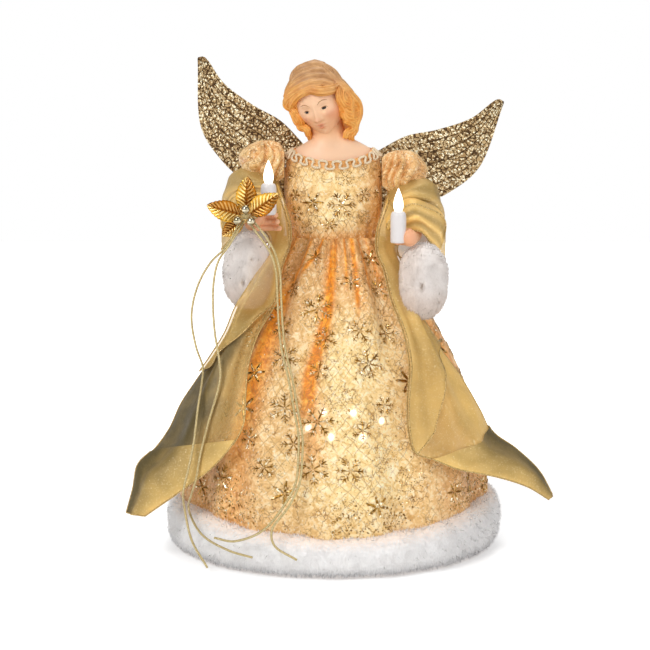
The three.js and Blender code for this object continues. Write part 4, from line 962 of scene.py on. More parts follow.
def make_braid():
    """One cord sewn in tight loops along the neckline."""
    waves, per = 22, 16
    i = np.arange(waves * per + 1)
    phase = 2 * math.pi * i / per
    turn = -178 + 356 * i / (waves * per) - 0.16 * (360 / waves) * np.sin(2 * phase)
    z = neckline(turn) - 3.4 + 3.2 * np.sin(phase)
    pile = Pile()
    pile.tube(body_point(turn, z, BODICE_CLEAR + 1.6), 1.1, 8)
    finish_piece(pile.make("braid_gimp"), "figure", "gold_cord", BRAID, "neckline_braid")


# Head

HEAD = np.array([-10.6, -9.0, 365.3])
LEAN, YAW, NOD = math.radians(-14), math.radians(-18), math.radians(20)
FACE_WIDE, FACE_DEEP, FACE_HIGH = 19.3, 20.5, 25.6  # half sizes
EYE_APART = 7.5
# Painted lines about an eye's middle: x outwards, z
LID_LINE = (-2.7, -0.4), (-1.4, 0.6), (0, 0.9), (1.6, 0.6), (3.0, -0.5)
BROW_LINE = (-4.2, 3.6), (-2.2, 5.4), (0.6, 6.2), (4.2, 5.2)
HEAD_TURN = np.array(Euler((NOD, LEAN, YAW), "XYZ").to_matrix())


def head_world(p):
    return np.asarray(p) @ HEAD_TURN.T + HEAD


def feature_height(z):
    """Heights on this short lower face, in the scale that the features below are written in."""
    return np.interp(z, [-30, -21.5, -14.5, -7.6, 0, 30], [-31, -23.2, -17, -10.6, 0, 30])


def face_point(a, p):
    """The head's surface. a is degrees from the front, p from the crown; features stand on an ellipsoid."""
    a, p = np.radians(a), np.radians(p)
    x = np.sin(p) * np.sin(a)
    y = -np.sin(p) * np.cos(a)
    z = np.cos(p) + 0 * a
    jaw = smooth(-0.05, -0.95, z)
    x = FACE_WIDE * x * (1 - 0.26 * jaw)
    y = (FACE_DEEP - 1.5 * jaw) * y
    z = FACE_HIGH * z * (1 + 0.07 * jaw)
    w = feature_height(z)
    d = np.zeros_like(x)
    for s in (-1, 1):
        ex = x - s * EYE_APART
        d -= 2.1 * gauss(ex, 4.4) * gauss(w - 0.3, 3.2)
        d += 1.15 * gauss(ex, 3.1) * gauss(w + 0.3, 2.2)
        d += 0.5 * gauss(ex, 5) * gauss(w - 5.4, 2.0)
        d += 1.5 * gauss(x - s * 9.5, 5.2) * gauss(w + 8.5, 5.5)
        d += 0.75 * gauss(x - s * 2.3, 1.3) * gauss(w + 11.2, 1.5)
    along = np.clip((4.0 - w) / 15.0, 0, 1)
    on = smooth(6.5, 2.0, w) * smooth(-14.2, -11.6, w)
    d += on * (0.8 + 3.6 * along**1.5) * gauss(x, 1.55 + 1.0 * along)
    d += 0.8 * gauss(x, 2.1) * gauss(w + 10.6, 1.9)
    d += 1.0 * gauss(x, 5.5) * gauss(w + 16.6, 3.4)
    d += 0.75 * gauss(x, 3.2) * gauss(w + 15.6, 0.95) + 0.95 * gauss(x, 2.7) * gauss(w + 18.3, 1.15)
    d -= 0.95 * gauss(x, 3.8) * gauss(w + 16.95, 0.42)
    d -= 0.5 * gauss(x, 3.4) * gauss(w + 20.4, 0.9)
    d += 2.1 * gauss(x, 5.6) * gauss(w + 24.6, 3.2)
    return np.stack([x, y - d * smooth(-2, -12, y), z], -1)


def face_at(x, z, lift=0.0):
    """The face's surface point over (x, z), found by stepping in the angles."""
    x, z = np.asarray(x, float), np.asarray(z, float)
    a = np.degrees(np.arcsin(np.clip(x / FACE_WIDE, -0.95, 0.95)))
    p = np.degrees(np.arccos(np.clip(z / FACE_HIGH, -0.99, 0.99)))
    for _ in range(25):
        q = face_point(a, p)
        a = a + (x - q[..., 0]) * 2.2
        p = p - (z - q[..., 2]) * 1.8
    q = face_point(a, p)
    q[..., 1] -= lift
    return q


def make_head():
    rows, cols = ((190, 260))
    a = np.linspace(-180, 180, cols)[None] * np.ones((rows, 1))
    a = np.sign(a) * 180 * (np.abs(a) / 180) ** 1.35
    p = np.linspace(2, 178, rows)[:, None] * np.ones((1, cols))
    q = face_point(a, p)
    x, w = q[..., 0], feature_height(q[..., 2])
    front = smooth(-6, -14, q[..., 1])
    upper = gauss(x, 2.9) * gauss(w + 15.75, 0.85)
    lower = gauss(x, 2.3) * gauss(w + 18.1, 0.95)
    lip = np.clip(1.15 * (upper + lower), 0, 0.8) * front
    blush = front * sum(gauss(x - s * 11, 5) * gauss(w + 10, 5.5) for s in (-1, 1))
    blush = np.clip(blush + 0.5 * front * gauss(x, 2.5) * gauss(w + 10.5, 2), 0, 1)
    shade = 0.4 * gauss(x, 3.0) * gauss(w + 16.95 - 0.03 * x**2, 0.3)
    for s in (-1, 1):
        shade = shade + 0.4 * gauss(x - s * EYE_APART, 3.4) * gauss(w - 2.0, 0.9)
        shade = shade + 0.5 * gauss(x - s * 2.0, 0.7) * gauss(w + 12.2, 0.5)
    pale = 0.55 + 0.3 * gauss(w - 8, 12)
    attrs = {"lip": lip, "blush": blush, "shade": np.clip(shade * front, 0, 1), "pale": pale}
    head = grid("head_face", head_world(q), attrs=attrs)
    finish_piece(head, "figure", "porcelain_skin", SKIN, "head_and_shoulder_plate")
    paint_face()
    make_shoulders()
    make_hair()


def paint_patch(name, outline, lift, material):
    """A painted shape on the face: a fan inside an outline of (x, z) points."""
    outline = np.asarray(outline, float)
    mid = outline.mean(0)
    rings = [mid + (outline - mid) * k for k in (0.05, 0.35, 0.7, 1.0)]
    pts = np.stack([face_at(r[:, 0], r[:, 1], lift) for r in rings])
    obj = grid(name, head_world(pts), wrap=True)
    finish_piece(obj, "figure", "porcelain_skin", material)


def paint_stroke(name, line, width, lift, material):
    """A painted line on the face through (x, z) points, thin at its ends."""
    line = catmull(np.c_[np.asarray(line, float), np.zeros(len(line))], 28)[:, :2]
    d = np.gradient(line, axis=0)
    n = np.stack([-d[:, 1], d[:, 0]], -1)
    n /= np.linalg.norm(n, axis=1, keepdims=True)
    half = 0.5 * width * (np.sin(np.linspace(0.12, math.pi - 0.12, 28)) ** 0.7)[:, None]
    left, right = line + n * half, line - n * half
    pts = np.stack([face_at(e[:, 0], e[:, 1], lift) for e in (left, line, right)], 1)
    obj = grid(name, head_world(pts))
    finish_piece(obj, "figure", "porcelain_skin", material)


def paint_face():
    """Small downcast eyes with a lid line, and thin brows."""
    t = np.linspace(0, 2 * math.pi, 40, endpoint=False)
    for s, tag in SIDES.items():
        cx = s * EYE_APART
        lens_shape = np.sin(t) * np.abs(np.sin(t)) ** 0.3
        almond = np.stack([cx + 2.5 * np.cos(t), -0.2 + 0.95 * lens_shape], -1)
        paint_patch(f"{tag}_eye_white", almond, 0.10, EYE_WHITE)
        iris = np.stack([cx + 1.6 * np.cos(t), -0.2 + np.clip(1.35 * np.sin(t), -1.0, 0.85)], -1)
        paint_patch(f"{tag}_iris", iris, 0.22, INK_DARK)
        lid, brow = ([(cx + s * x, z) for x, z in line] for line in (LID_LINE, BROW_LINE))
        paint_stroke(f"{tag}_lid_line", lid, 0.55, 0.26, BROW)
        paint_stroke(f"{tag}_brow", brow, 0.6, 0.18, BROW)


def make_shoulders():
    """Neck and shoulder plate in one skin, from inside the bodice up into the hair."""
    levels = np.linspace(305, 352, 50)
    a = np.radians(np.linspace(-180, 180, 96, endpoint=False))[None]
    rise = smooth(331, 352, levels)
    w, d = body_section(np.minimum(levels, 340.5))
    neck = smooth(322, 338, levels)
    w, d = w + 3.6 * neck, d + 2.4 * neck
    kernel = np.ones(7) / 7
    w, d = (np.convolve(np.pad(v, 3, mode="edge"), kernel, "valid") for v in (w, d))
    pts = np.zeros((len(levels), a.shape[1], 3))
    pts[..., 0] = w[:, None] * np.sin(a) + (HEAD[0] * 0.6 * rise)[:, None]
    pts[..., 1] = -d[:, None] * np.cos(a) + (-3.0 * rise)[:, None]
    pts[..., 2] = levels[:, None]
    hollow = gauss(pts[..., 0], 5) * gauss(pts[..., 2] - 331, 3.5) * (np.cos(a) > 0)
    pts[..., 1] += 1.0 * hollow
    zero = np.zeros(pts.shape[:2])
    # Paler low on the shoulders, while the throat keeps the deeper orange base as painted warm light; shade
    # is painted shade in the hollow and under the chin.
    pale = smooth(346, 330, pts[..., 2])
    shade = 0.3 * hollow + 0.6 * smooth(337, 346, pts[..., 2])
    attrs = {"lip": zero, "blush": zero, "shade": shade, "pale": pale}
    obj = grid("neck_and_shoulders", pts, wrap=True, attrs=attrs)
    finish_piece(obj, "figure", "porcelain_skin", SKIN)


# Hair: a cap by levels (height, left edge, right edge, half depth), with moulded locks on its front. Each
# front lock is a radius and [x, z] points, and its depth follows the cap.

HAIR_LOW, HAIR_TOP = 334, 401
HAIR_LEVELS = np.array([
    [334, -21, 17, 18], [345, -26, 20, 24], [355, -32, 22, 28], [365, -40, 23, 30], [375, -41, 18, 29],
    [384, -37, 10, 26], [394, -33, 2, 19], [399, -23, -7, 10], [401, -16, -14, 2],
])
LOCK_RIDGES, LOCK_TWIST = 7, 1.2
HAIR_MID = 3.0  # y of the cap's middle
FRONT_LOCKS = [
    (4.3, [[-2, 389], [-12, 394], [-22, 393], [-30, 389], [-33, 383]]),
    (4.2, [[0, 385], [-10, 389], [-20, 388], [-29, 384], [-34, 378]]),
    (4.2, [[1, 381], [-9, 385], [-19, 384], [-28, 380], [-35, 375], [-38, 370]]),
    (4.2, [[0, 378], [-10, 380], [-20, 378], [-29, 374], [-36, 369], [-38, 363]]),
    (3.6, [[-33, 373], [-37, 368], [-38, 363], [-35, 360]]),
    (3.8, [[4, 382], [2, 377], [-5, 374.5], [-12, 374], [-18, 375], [-25, 372]]),
    (3.2, [[-10, 378], [-20, 375], [-28, 371], [-33, 365], [-35, 359]]),
    (3.4, [[-4, 380], [-14, 379], [-22, 378], [-30, 373], [-36, 366]]),
    (3.6, [[6, 380], [8, 375], [7.5, 370], [10, 367], [14, 368], [18, 367]]),
    (3.6, [[4, 376], [5, 369.5], [8, 364], [13, 362], [18, 363]]),
    (3.6, [[7.5, 364], [10.5, 359], [15, 358], [19, 359]]),
    (3.6, [[8.5, 358], [11, 354], [15, 353], [19, 354]]),
    (3.4, [[9.5, 351], [13, 350], [16, 348], [15, 343], [11, 341], [10, 337]]),
    (3.4, [[18, 351], [17, 344], [14, 339], [15, 334]]),
    (4.2, [[-10, 393], [-2, 385], [6, 378], [13, 371], [19, 364], [20, 357], [18, 349], [16, 341]]),
    (4.0, [[-8, 389], [0, 382], [7, 375], [12, 369], [13, 361], [15, 353]]),
    (3.0, [[-35, 362], [-31, 359], [-29, 354], [-27, 351], [-27, 346], [-22, 344], [-20, 339]]),
    (2.8, [[-30, 357], [-26, 352], [-25, 347], [-21, 344], [-21, 339]]),
    (2.6, [[-35, 360], [-32, 355], [-30, 350], [-27, 346]]),
]


def hair_section(z):
    """Left edge, right edge and half depth of the cap at a height."""
    fine = np.linspace(HAIR_LOW, HAIR_TOP, 135)
    kernel = np.ones(13) / 13
    smoothed = []
    for k in (1, 2, 3):
        column = np.interp(fine, HAIR_LEVELS[:, 0], HAIR_LEVELS[:, k])
        column[6:-6] = np.convolve(column, kernel, "valid")
        smoothed.append(np.interp(z, fine, column))
    return smoothed


def hair_depth(x, z):
    left, right, depth = hair_section(z)
    across = (x - 0.5 * (left + right)) / (0.5 * (right - left))
    return HAIR_MID - depth * np.sqrt(np.clip(1 - across**2, 0.1, 1)) - 5.5 * gauss(z - 373, 8)


def hair_surface(turn, z, lift):
    """The cap. turn in degrees from the front."""
    left, right, depth = hair_section(z)
    a = np.radians(turn)
    x = 0.5 * (left + right) + (0.5 * (right - left) + lift) * np.sin(a)
    return np.stack([x, HAIR_MID - (depth + lift) * np.cos(a), z + 0 * a], -1)


def make_hair():
    """Front locks over a ridged cap that is open round the face and the throat."""
    pile = Pile()
    sides, steps = 28, 56
    s = np.linspace(0, 1, steps)
    shape = 0.45 + 0.55 * np.sin(math.pi * np.clip(0.1 + 0.82 * s, 0, 1)) ** 0.7
    round_lock = around(sides) + LOCK_TWIST * s[:, None]
    groove = (0.5 - 0.5 * np.cos(LOCK_RIDGES * round_lock)) ** 2
    for radius, points in FRONT_LOCKS:
        path = catmull([(x, 0, z) for x, z in points], steps)
        path[:, 1] = hair_depth(path[:, 0], path[:, 2])
        # Brighter gold with a faint painted glow low down, and painted shade in the hollows between strands.
        tone = np.repeat(smooth(386, 364, path[:, 2]), sides)
        attrs = {"tone": np.append(tone, tone[[0, -1]]), "groove": np.append(groove.ravel(), [0, 0])}
        how = {"ridge": LOCK_RIDGES, "ridge_depth": 0.17, "flat": 0.8, "twist": LOCK_TWIST}
        pile.tube(path, radius * shape, sides, attrs, **how)
    rows, cols = 110, 260
    turn = turns(rows, cols)
    z = HAIR_TOP - (HAIR_TOP - HAIR_LOW) * np.linspace(0.004, 1, rows)[:, None] ** 1.6 + 0 * turn
    a = np.radians(turn)
    sway = 1.4 * np.sin(z * 0.2 + 2 * np.sin(3 * a))
    lift = 2.6 * np.abs(np.sin(6 * a + sway)) + 0.5 * np.sin(44 * a + 5 * sway) - 3.4
    cap = hair_surface(turn, z, lift * smooth(HAIR_TOP, HAIR_TOP - 5, z))
    local = (cap - HEAD) @ HEAD_TURN
    face = (local[..., 0] / 17) ** 2 + ((local[..., 2] + 10) / 18) ** 2
    open_face = smooth(1.25, 0.9, face) * (local[..., 1] < 0)
    open_neck = smooth(66, 50, np.abs(turn)) * smooth(356, 349, z)
    sink = 0.6 * np.maximum(open_face, open_neck)[..., None]
    cap = lerp(cap, np.stack([0 * z + HEAD[0], 0 * z + 4, z], -1), sink)
    # Painted shade in the hollows between the cap's waves.
    groove = (1 - np.abs(np.sin(6 * a + sway))) ** 2
    pile.add(cap.reshape(-1, 3), grid_quads(rows, cols, True),
             tone=smooth(380, 358, cap[..., 2]).ravel(), groove=groove.ravel())
    finish_piece(pile.make("hair_moulded"), "figure", "porcelain_skin", HAIR)


# Fur

def fur_strands(name, points, normals, attrs, length, clump, seed, width=0.34):
    """Pointed blades on a surface, combed down in clumps and shaded like the surface they stand on."""
    rng = np.random.default_rng(seed)
    n = len(points)
    x, y, z = points.T
    waves = [ripple(x * 0.35, z * 0.35 + y * 0.2, seed + k, 6) for k in range(3)]
    down = np.array([0, 0, -1.0])
    flow = down - normals * (normals @ down)[:, None]
    d = 0.6 * normals + 0.75 * flow + clump * np.stack(waves, -1) + rng.normal(0, 0.3, (n, 3))
    d /= np.linalg.norm(d, axis=1, keepdims=True)
    side = np.cross(d, normals + rng.normal(0, 0.25, (n, 3)))
    side /= np.maximum(np.linalg.norm(side, axis=1, keepdims=True), 1e-6)
    side *= np.sign(np.sum(np.cross(side, d) * normals, 1))[:, None]
    span = length * rng.uniform(0.55, 1.15, n)[:, None]
    w = width * rng.uniform(0.7, 1.2, n)[:, None]
    root = points - normals * 0.6
    mid = root + d * span * 0.55 + down * span * 0.1
    tip = root + d * span + down * span * 0.14
    verts = np.stack([root - side * w, root + side * w, mid + side * w * 0.7, mid - side * w * 0.7, tip], 1)
    k = np.arange(n)[:, None] * 5
    fields = {key: np.repeat(value, 5) for key, value in attrs.items()}
    fields["tone"] = np.tile([0.0, 0.0, 0.6, 0.6, 1.0], n)
    obj = new_mesh(name, verts.reshape(-1, 3), quads=k + [[0, 1, 2, 3]], tris=k + [[3, 2, 4]], attrs=fields)
    shading = normals + 0.06 * d
    shading /= np.linalg.norm(shading, axis=1, keepdims=True)
    obj.data.normals_split_custom_set_from_vertices(np.repeat(shading, 5, 0).tolist())
    return obj


def sample_grid(pts, count, seed):
    """Random points over a grid whose rows close, by area, with normals and the share of the way down."""
    rng = np.random.default_rng(seed)
    rows, cols = pts.shape[:2]
    nrm = grid_normals(pts)
    across = np.roll(pts, -1, 1) - pts
    area = np.linalg.norm(np.cross(across[:-1], pts[1:] - pts[:-1]), axis=-1)
    pick = rng.choice(area.size, count, p=area.ravel() / area.sum())
    j, i = np.unravel_index(pick, area.shape)
    fu, fv = rng.random(count), rng.random(count)
    i2 = (i + 1) % cols

    def at(field):
        top = field[j, i] * (1 - fu)[:, None] + field[j, i2] * fu[:, None]
        low = field[j + 1, i] * (1 - fu)[:, None] + field[j + 1, i2] * fu[:, None]
        return top * (1 - fv)[:, None] + low * fv[:, None]

    n = at(nrm)
    return at(pts), n / np.maximum(np.linalg.norm(n, axis=1, keepdims=True), 1e-9), (j + fv) / (rows - 1)


def make_hem():
    cols, rows = 420, 26
    turn = turns(rows, cols)
    ring = shares(rows)
    ang = lerp(math.radians(-70), math.radians(200), ring)
    height = fur_top(turn)
    out = np.cos(ang) * np.abs(np.cos(ang)) ** -0.25 * 0.5
    up = 0.5 + 0.5 * np.sin(ang) * np.abs(np.sin(ang)) ** -0.2
    t = np.radians(turn)
    lump = 1.7 * ripple(t * 11, ring * 3, 41, 9) + 0.8 * ripple(t * 30, ring * 6, 43, 9)
    clear = -FUR_T / 9 + (out * (FUR_T - 5)) + lump * np.maximum(np.cos(ang), 0.2)
    w, d = HEM_W + clear, HEM_D + clear
    z = 2.5 + np.clip(up, 0, 1) * (height - 4.5) + 0.6 * lump * np.maximum(np.sin(ang), 0)
    pts = np.stack([w * np.sin(t), -d * np.cos(t), np.maximum(z, 2.0)], -1)
    # Painted warm light from the dress near the top of the fur, and painted shade at the bottom and on the
    # figure's left side.
    warm_light = smooth(0.62, 1.0, np.clip(up, 0, 1)) * 0.75 + 0 * turn
    low = smooth(0.22, 0.0, ring) + 0.4 * smooth(40, 125, pts[..., 0])
    attrs = {"tone": 0.3 + 0 * turn, "warm_light": warm_light * 0.8, "slit": 0 * turn, "low": low}
    body = grid("hem_fur_body", pts, wrap=True, attrs=attrs)
    finish_piece(body, "figure", "white_fur", FUR, "hem_fur")
    p, n, v = sample_grid(pts, 60000, 7)
    # The strands get the same painted shade and painted warm light.
    low = smooth(0.22, 0.0, v) + 0.25 * smooth(40, 125, p[:, 0])
    attrs = {"warm_light": 0.7 * smooth(0.45, 0.75, v), "slit": 0 * v, "low": low}
    fur = fur_strands("hem_fur_pile", p, n, attrs, 3.8, 0.2, 9)
    floor_clip(fur)
    finish_piece(fur, "figure", "white_fur", FUR)


def floor_clip(obj):
    """Strand ends that would go under the floor lie on it."""
    co = vertices(obj)
    co[:, 2] = np.maximum(co[:, 2], 0.0004)
    obj.data.vertices.foreach_set("co", co.ravel())


# Fur cuffs. A slit is where the pile is pinched, with painted brown shade in it: x outwards from the middle,
# z, half width, half height.

SLITS = {-1: [[-4.0, 10.0, 1.5, 1.5], [3.0, -8.0, 1.2, 3.0]], 1: [[-2.0, -3.0, 1.7, 3.2]]}
CUFF_OUT = {-1: 27, 1: 30.5}
CUFF_TAPER = {-1: 0.18, 1: 0.06}
CUFF_W, CUFF_D, CUFF_H = 19.2, 13.2, 29.4  # half sizes


def cuff_look(side, x, z, front, tight, inner):
    """How pinched the pile is at places about a cuff's middle, and its painted warm light and painted shade,
    both stronger towards the bottom.
    """
    slit = np.zeros_like(z)
    for sx, sz, half_w, half_h in SLITS[side]:
        slit = np.maximum(slit, gauss(x - side * sx, half_w * tight) * gauss(z - sz, half_h * tight) * front)
    drop = smooth(0, -27, z)
    return slit, 0.22 + 0.45 * drop + inner * smooth(4, -14, side * x), 0.24 + 0.3 * drop


def make_cuff(side):
    tag = SIDES[side]
    centre = arm(side, CUFF_OUT[side], 54, -82)
    rows, cols = 60, 84
    p = np.linspace(0.02, math.pi - 0.02, rows)[:, None]
    a = around(cols)
    round_off = np.sin(p) ** 0.85 * (1 + 0.07 * np.sin(2 * p) ** 2)
    taper = 1 - CUFF_TAPER[side] * smooth(0.1, 1.0, np.cos(p))
    x = CUFF_W * taper * round_off * np.sin(a)
    y = -CUFF_D * round_off * np.cos(a)
    z = CUFF_H * np.cos(p) + 0 * a
    lump = 0.8 * ripple(x * 0.14, z * 0.14 + y * 0.1, 51 + side, 7)
    # The pinch, the painted warm light and the painted shade of the cuff's body.
    slit, warm_light, low = cuff_look(side, x, z, np.cos(a) > 0, 1.0, 0.25)
    grow = 1 + lump / 18
    pts = np.stack([x * grow, y * grow + 3.5 * slit, z], -1) + centre
    field = {"tone": 0.3 - 0.3 * slit, "warm_light": warm_light, "slit": slit, "low": low}
    body = grid(f"{tag}_cuff_body", pts, wrap=True, attrs=field)
    finish_piece(body, f"{tag}_arm", "white_fur", FUR, f"{tag}_fur_cuff")
    q, n, _ = sample_grid(pts, 22000, 61 + side)
    x, y, z = (q - centre).T
    # The same pinch, painted warm light and painted shade for the strands.
    slit, warm_light, low = cuff_look(side, x, z, y < 0, 0.8, 0.2)
    keep = slit < 0.75
    field = {"warm_light": warm_light[keep], "slit": slit[keep], "low": low[keep]}
    fur = fur_strands(f"{tag}_cuff_pile", q[keep], -n[keep], field, 3.0, 0.3, 63 + side, 0.32)
    finish_piece(fur, f"{tag}_arm", "white_fur", FUR)


# Sleeves and drapes

PUFF_INNER, SLEEVE_INNER = 40.0, 42.5  # how near the body's middle a sleeve reaches
PUFF_R, PUFF_H = 20.0, 17.5
# Lower edge of the sleeve's hanging front fold, as arm(side, out, fwd, up)
SLEEVE_LIP = [(4, 46, -37), (16, 50, -41.5), (29, 51, -44), (40, 49, -57), (48.5, 45, -66)]


def clear_of_body(pts, side, inner):
    pts[..., 0] = side * np.maximum(side * pts[..., 0], inner)


def make_puff(side):
    """A gathered puff of the dress cloth, open to the bodice."""
    tag = SIDES[side]
    centre = arm(side, 15, 5, 3)
    rows, cols = 110, 200
    p = np.linspace(0.03, math.pi - 0.03, rows)[:, None]
    a = around(cols)
    bend = 1.9 * np.sin(2 * a + side) + 1.2 * np.cos(3 * p) + 0.9 * ripple(a + side, p * 2, 17, 4)
    pleat = 4.4 * np.abs(np.cos(5 * a + bend)) - 2.8
    crush = 1.7 * ripple(a * 2.0 + side, p * 3.0, 71 + side, 6)
    pleat, crush = pleat * np.sin(p) ** 0.7, crush * np.sin(p)
    r = 1 + (pleat + crush) / PUFF_R
    unit = np.stack([np.sin(p) * np.sin(a), -np.sin(p) * np.cos(a), np.cos(p) + 0 * a], -1)
    pts = centre + unit * r[..., None] * [PUFF_R, PUFF_R, PUFF_H]
    clear_of_body(pts, side, PUFF_INNER)
    uv = np.stack([a * 0.2 + 0 * p, p * 0.2 + 0 * a], -1)
    # Painted orange shade in the valleys of the pleats and painted highlight on their ridges.
    valley = smooth(0.2, 1.6, -(pleat + crush))
    attrs = {"glow": 0.2 * valley, "pale": 0.4 * smooth(0.2, 1.6, pleat + crush), "spot": 0 * valley}
    obj = grid(f"{tag}_puff_cloth", pts, wrap=True, uv=uv, attrs=attrs, flip=True)
    finish_piece(obj, f"{tag}_arm", "dress_fabric", DRESS, f"{tag}_puff_sleeve")


def make_oversleeve(side):
    """Organza bell that starts inside the puff and opens over the cuff."""
    tag = SIDES[side]
    rows, cols = 72, 140
    line = [(16, 2, -2), (24, 8, -22), (25, 20, -37), (25, 41, -44)]
    path = catmull([arm(side, *p) for p in line], rows)
    _, n, b = frames(path)
    v = shares(rows)
    u = around(cols)
    arcs = 1.5 * np.sin(2 * math.pi * (2.4 * v + 0.12 * np.sin(u))) * smooth(0.25, 0.5, v)
    fold = arcs + 1.1 * np.sin(5 * u + 3 * v) * v + 0.8 * ripple(u * 3, v * 5, 81 + side, 8)
    r = 24 * (0.58 + 0.42 * smooth(0, 0.3, v)) * (1 - 0.06 * smooth(0.7, 1, v)) + fold * smooth(0.0, 0.25, v)
    pts = path[:, None] + (r * np.cos(u))[..., None] * n[:, None] + (r * np.sin(u))[..., None] * b[:, None]
    clear_of_body(pts, side, SLEEVE_INNER)
    uv = np.stack([u * 0.22 + 0 * v, v * 0.7 + 0 * u], -1)
    # Painted light on folds that stand out and painted shade in those that sink; lit is a painted glow
    # towards the mouth.
    tone = 0.62 + 0.3 * np.clip(fold / 2, -1, 1)
    obj = grid(f"{tag}_sleeve_organza", pts, wrap=True, uv=uv,
               attrs={"layer": 0.34 + 0 * tone, "tone": tone, "lit": 0.5 * smooth(0.5, 1.0, v) + 0 * tone})
    finish_piece(obj, f"{tag}_arm", "organza", SHEER, f"{tag}_oversleeve")
    declare_sheet(pts, closed=True)
    fold = sleeve_fold(side, pts[-1])
    pile = Pile()
    pile.tube(np.vstack([pts[-1], pts[-1, :1]]), 0.6, 6)
    pile.tube(fold[-1], 0.8, 6)
    finish_piece(pile.make(f"{tag}_sleeve_edge"), f"{tag}_arm", "organza", GLITTER)


def sleeve_fold(side, mouth):
    """The fold that hangs over the sleeve's mouth, from its upper edge down to the lip."""
    tag = SIDES[side]
    rows, cols = 40, 70
    lip = catmull([arm(side, *p) for p in SLEEVE_LIP], cols)
    out = side * (mouth[:, 0] - PIVOT[side][0])
    upper = mouth[:, 2] > mouth[:, 2].mean() - 1
    order = np.argsort(out[upper])
    edge = mouth[upper][order]
    share = np.linspace(0, 1, cols)
    along = np.linspace(0, 1, len(edge))
    top = np.stack([np.interp(share, along, edge[:, k]) for k in range(3)], -1)
    v = shares(rows)
    pts = lerp(top[None], lip[None], v[..., None])
    belly = np.sin(math.pi * v) * np.sin(math.pi * share)[None]
    swag = 1.6 * np.sin(2 * math.pi * (2.2 * v + 0.3 * share[None])) * belly
    pts[..., 1] -= 3.5 * belly + swag
    # Painted light on the swag's ridges and painted shade in its hollows, darker towards the outer end; lit
    # is a painted glow.
    tone = 0.66 + 0.3 * np.clip(swag, -1, 1) - 0.25 * smooth(0.6, 1, share)[None]
    attrs = {"layer": 0.4 + 0 * tone, "tone": tone, "lit": 0.35 + 0 * tone}
    uv = np.stack([share[None] * 0.5 + 0 * v, v * 0.3 + 0 * share[None]], -1)
    obj = grid(f"{tag}_sleeve_fold", pts, uv=uv, attrs=attrs, flip=side < 0)
    finish_piece(obj, f"{tag}_arm", "organza", SHEER)
    declare_sheet(pts)
    return pts


def declare_sheet(pts, closed=False):
    """Works out a rectangle of cloth for a grid, as long as the grid and wide enough for its shape, and does
    nothing with it.
    """
    if closed:
        pts = np.concatenate([pts, pts[:, :1]], 1)
    area = grid_area(pts) * MM**2
    long = max(np.linalg.norm(np.diff(pts, axis=0), axis=-1).sum(0)) * MM
    wide = max(np.linalg.norm(np.diff(pts, axis=1), axis=-1).sum(1)) * MM
    wide = min(wide, area / (0.5 * long))


# Inner and outer edge of each drape below the cuff: turn outwards from the front, height, gap to the bell
DRAPES = {
    -1: ([[30, 235, 27], [34, 207, 10], [39, 183, 8], [39, 159, 7], [36, 137, 7], [34, 117, 7], [36, 102, 8],
          [42, 82, 12], [50, 62, 25], [60, 39, 40]],
         [[58, 229, 13], [58, 203, 15], [58, 182, 13], [62, 162, 12], [66, 142, 14], [69, 123, 17],
          [68, 104, 21], [67, 89, 30], [67, 77, 41], [65, 59, 45], [65, 40, 50]]),
    1: ([[30, 233, 24], [33, 209, 13], [36, 184, 8], [34, 160, 7], [29, 135, 7], [27, 111, 7], [28, 96, 8],
         [34, 90, 10], [42, 81, 15], [50, 75, 34], [60, 63, 46], [65, 51, 57]],
        [[58, 222, 9], [51, 200, 9], [56, 176, 7], [66, 144, 7], [67, 118, 12], [66, 102, 17], [66, 89, 34],
         [67, 72, 49], [67, 54, 58]]),
}
# The drape's first stretch, from the shoulder: inner edge and outer edge as arm(side, out, fwd, up)
DRAPE_LEAD = (
    [(4, 14, -14), (-2, 30, -30), (-7, 46, -46), (-7, 56, -60)],
    [(14, 18, -20), (15, 30, -38), (12, 37, -51), (8, 38, -57)],
)
# Height of the line where the flap turns out, at the inner and the outer edge
TURN_OUT = {-1: (100, 84), 1: (88, 103)}
# Lower edge of the short layer in front: height at even steps from the inner to the outer edge
FRONT_HEM = {-1: (207, 188, 170, 155, 150), 1: (95, 110, 148, 166, 175)}
EDGE_STEPS = 300
# How far the front layer swings forward over the right cuff
OVER_CUFF = 36.0


def drape_edges(side):
    edges = []
    for lead, points in zip(DRAPE_LEAD, DRAPES[side]):
        rest = [skirt_base(np.array(float(side * a)), np.array(float(z)), c) for a, z, c in points]
        edges.append(catmull(np.vstack([[arm(side, *p) for p in lead], rest]), EDGE_STEPS))
    return edges


def drape_at(edges, u, v, seed):
    """Points of the drape: u across from the inner edge, v down from the shoulder. Also the way outwards."""
    u, v = np.broadcast_arrays(u, v)
    share = np.linspace(0, 1, EDGE_STEPS)
    inner, outer = (np.stack([np.interp(v, share, e[:, k]) for k in range(3)], -1) for e in edges)
    at = lerp(inner, outer, u[..., None])
    away = at * [1, 1, 0]
    away /= np.linalg.norm(away, axis=-1, keepdims=True)
    belly = np.sin(math.pi * u)
    swell = 0.12 * np.linalg.norm(outer - inner, axis=-1) * belly
    swell += 7 * belly * (0.5 + 0.5 * np.cos(4 * math.pi * u)) * np.sin(math.pi * v) * smooth(0.2, 0.36, v)
    swell += 0.9 * ripple(u * 9, v * 9, seed, 9) * np.sqrt(belly)
    return at + away * swell[..., None], away


def drape_share(edges, u, z):
    """How far down each strip u of the drape reaches height z."""
    strips = edges[0][:, 2:] + (edges[1][:, 2:] - edges[0][:, 2:]) * u[None]
    share = np.linspace(0, 1, EDGE_STEPS)
    return np.array([np.interp(-zk, -strips[:, k], share) for k, zk in enumerate(z)])


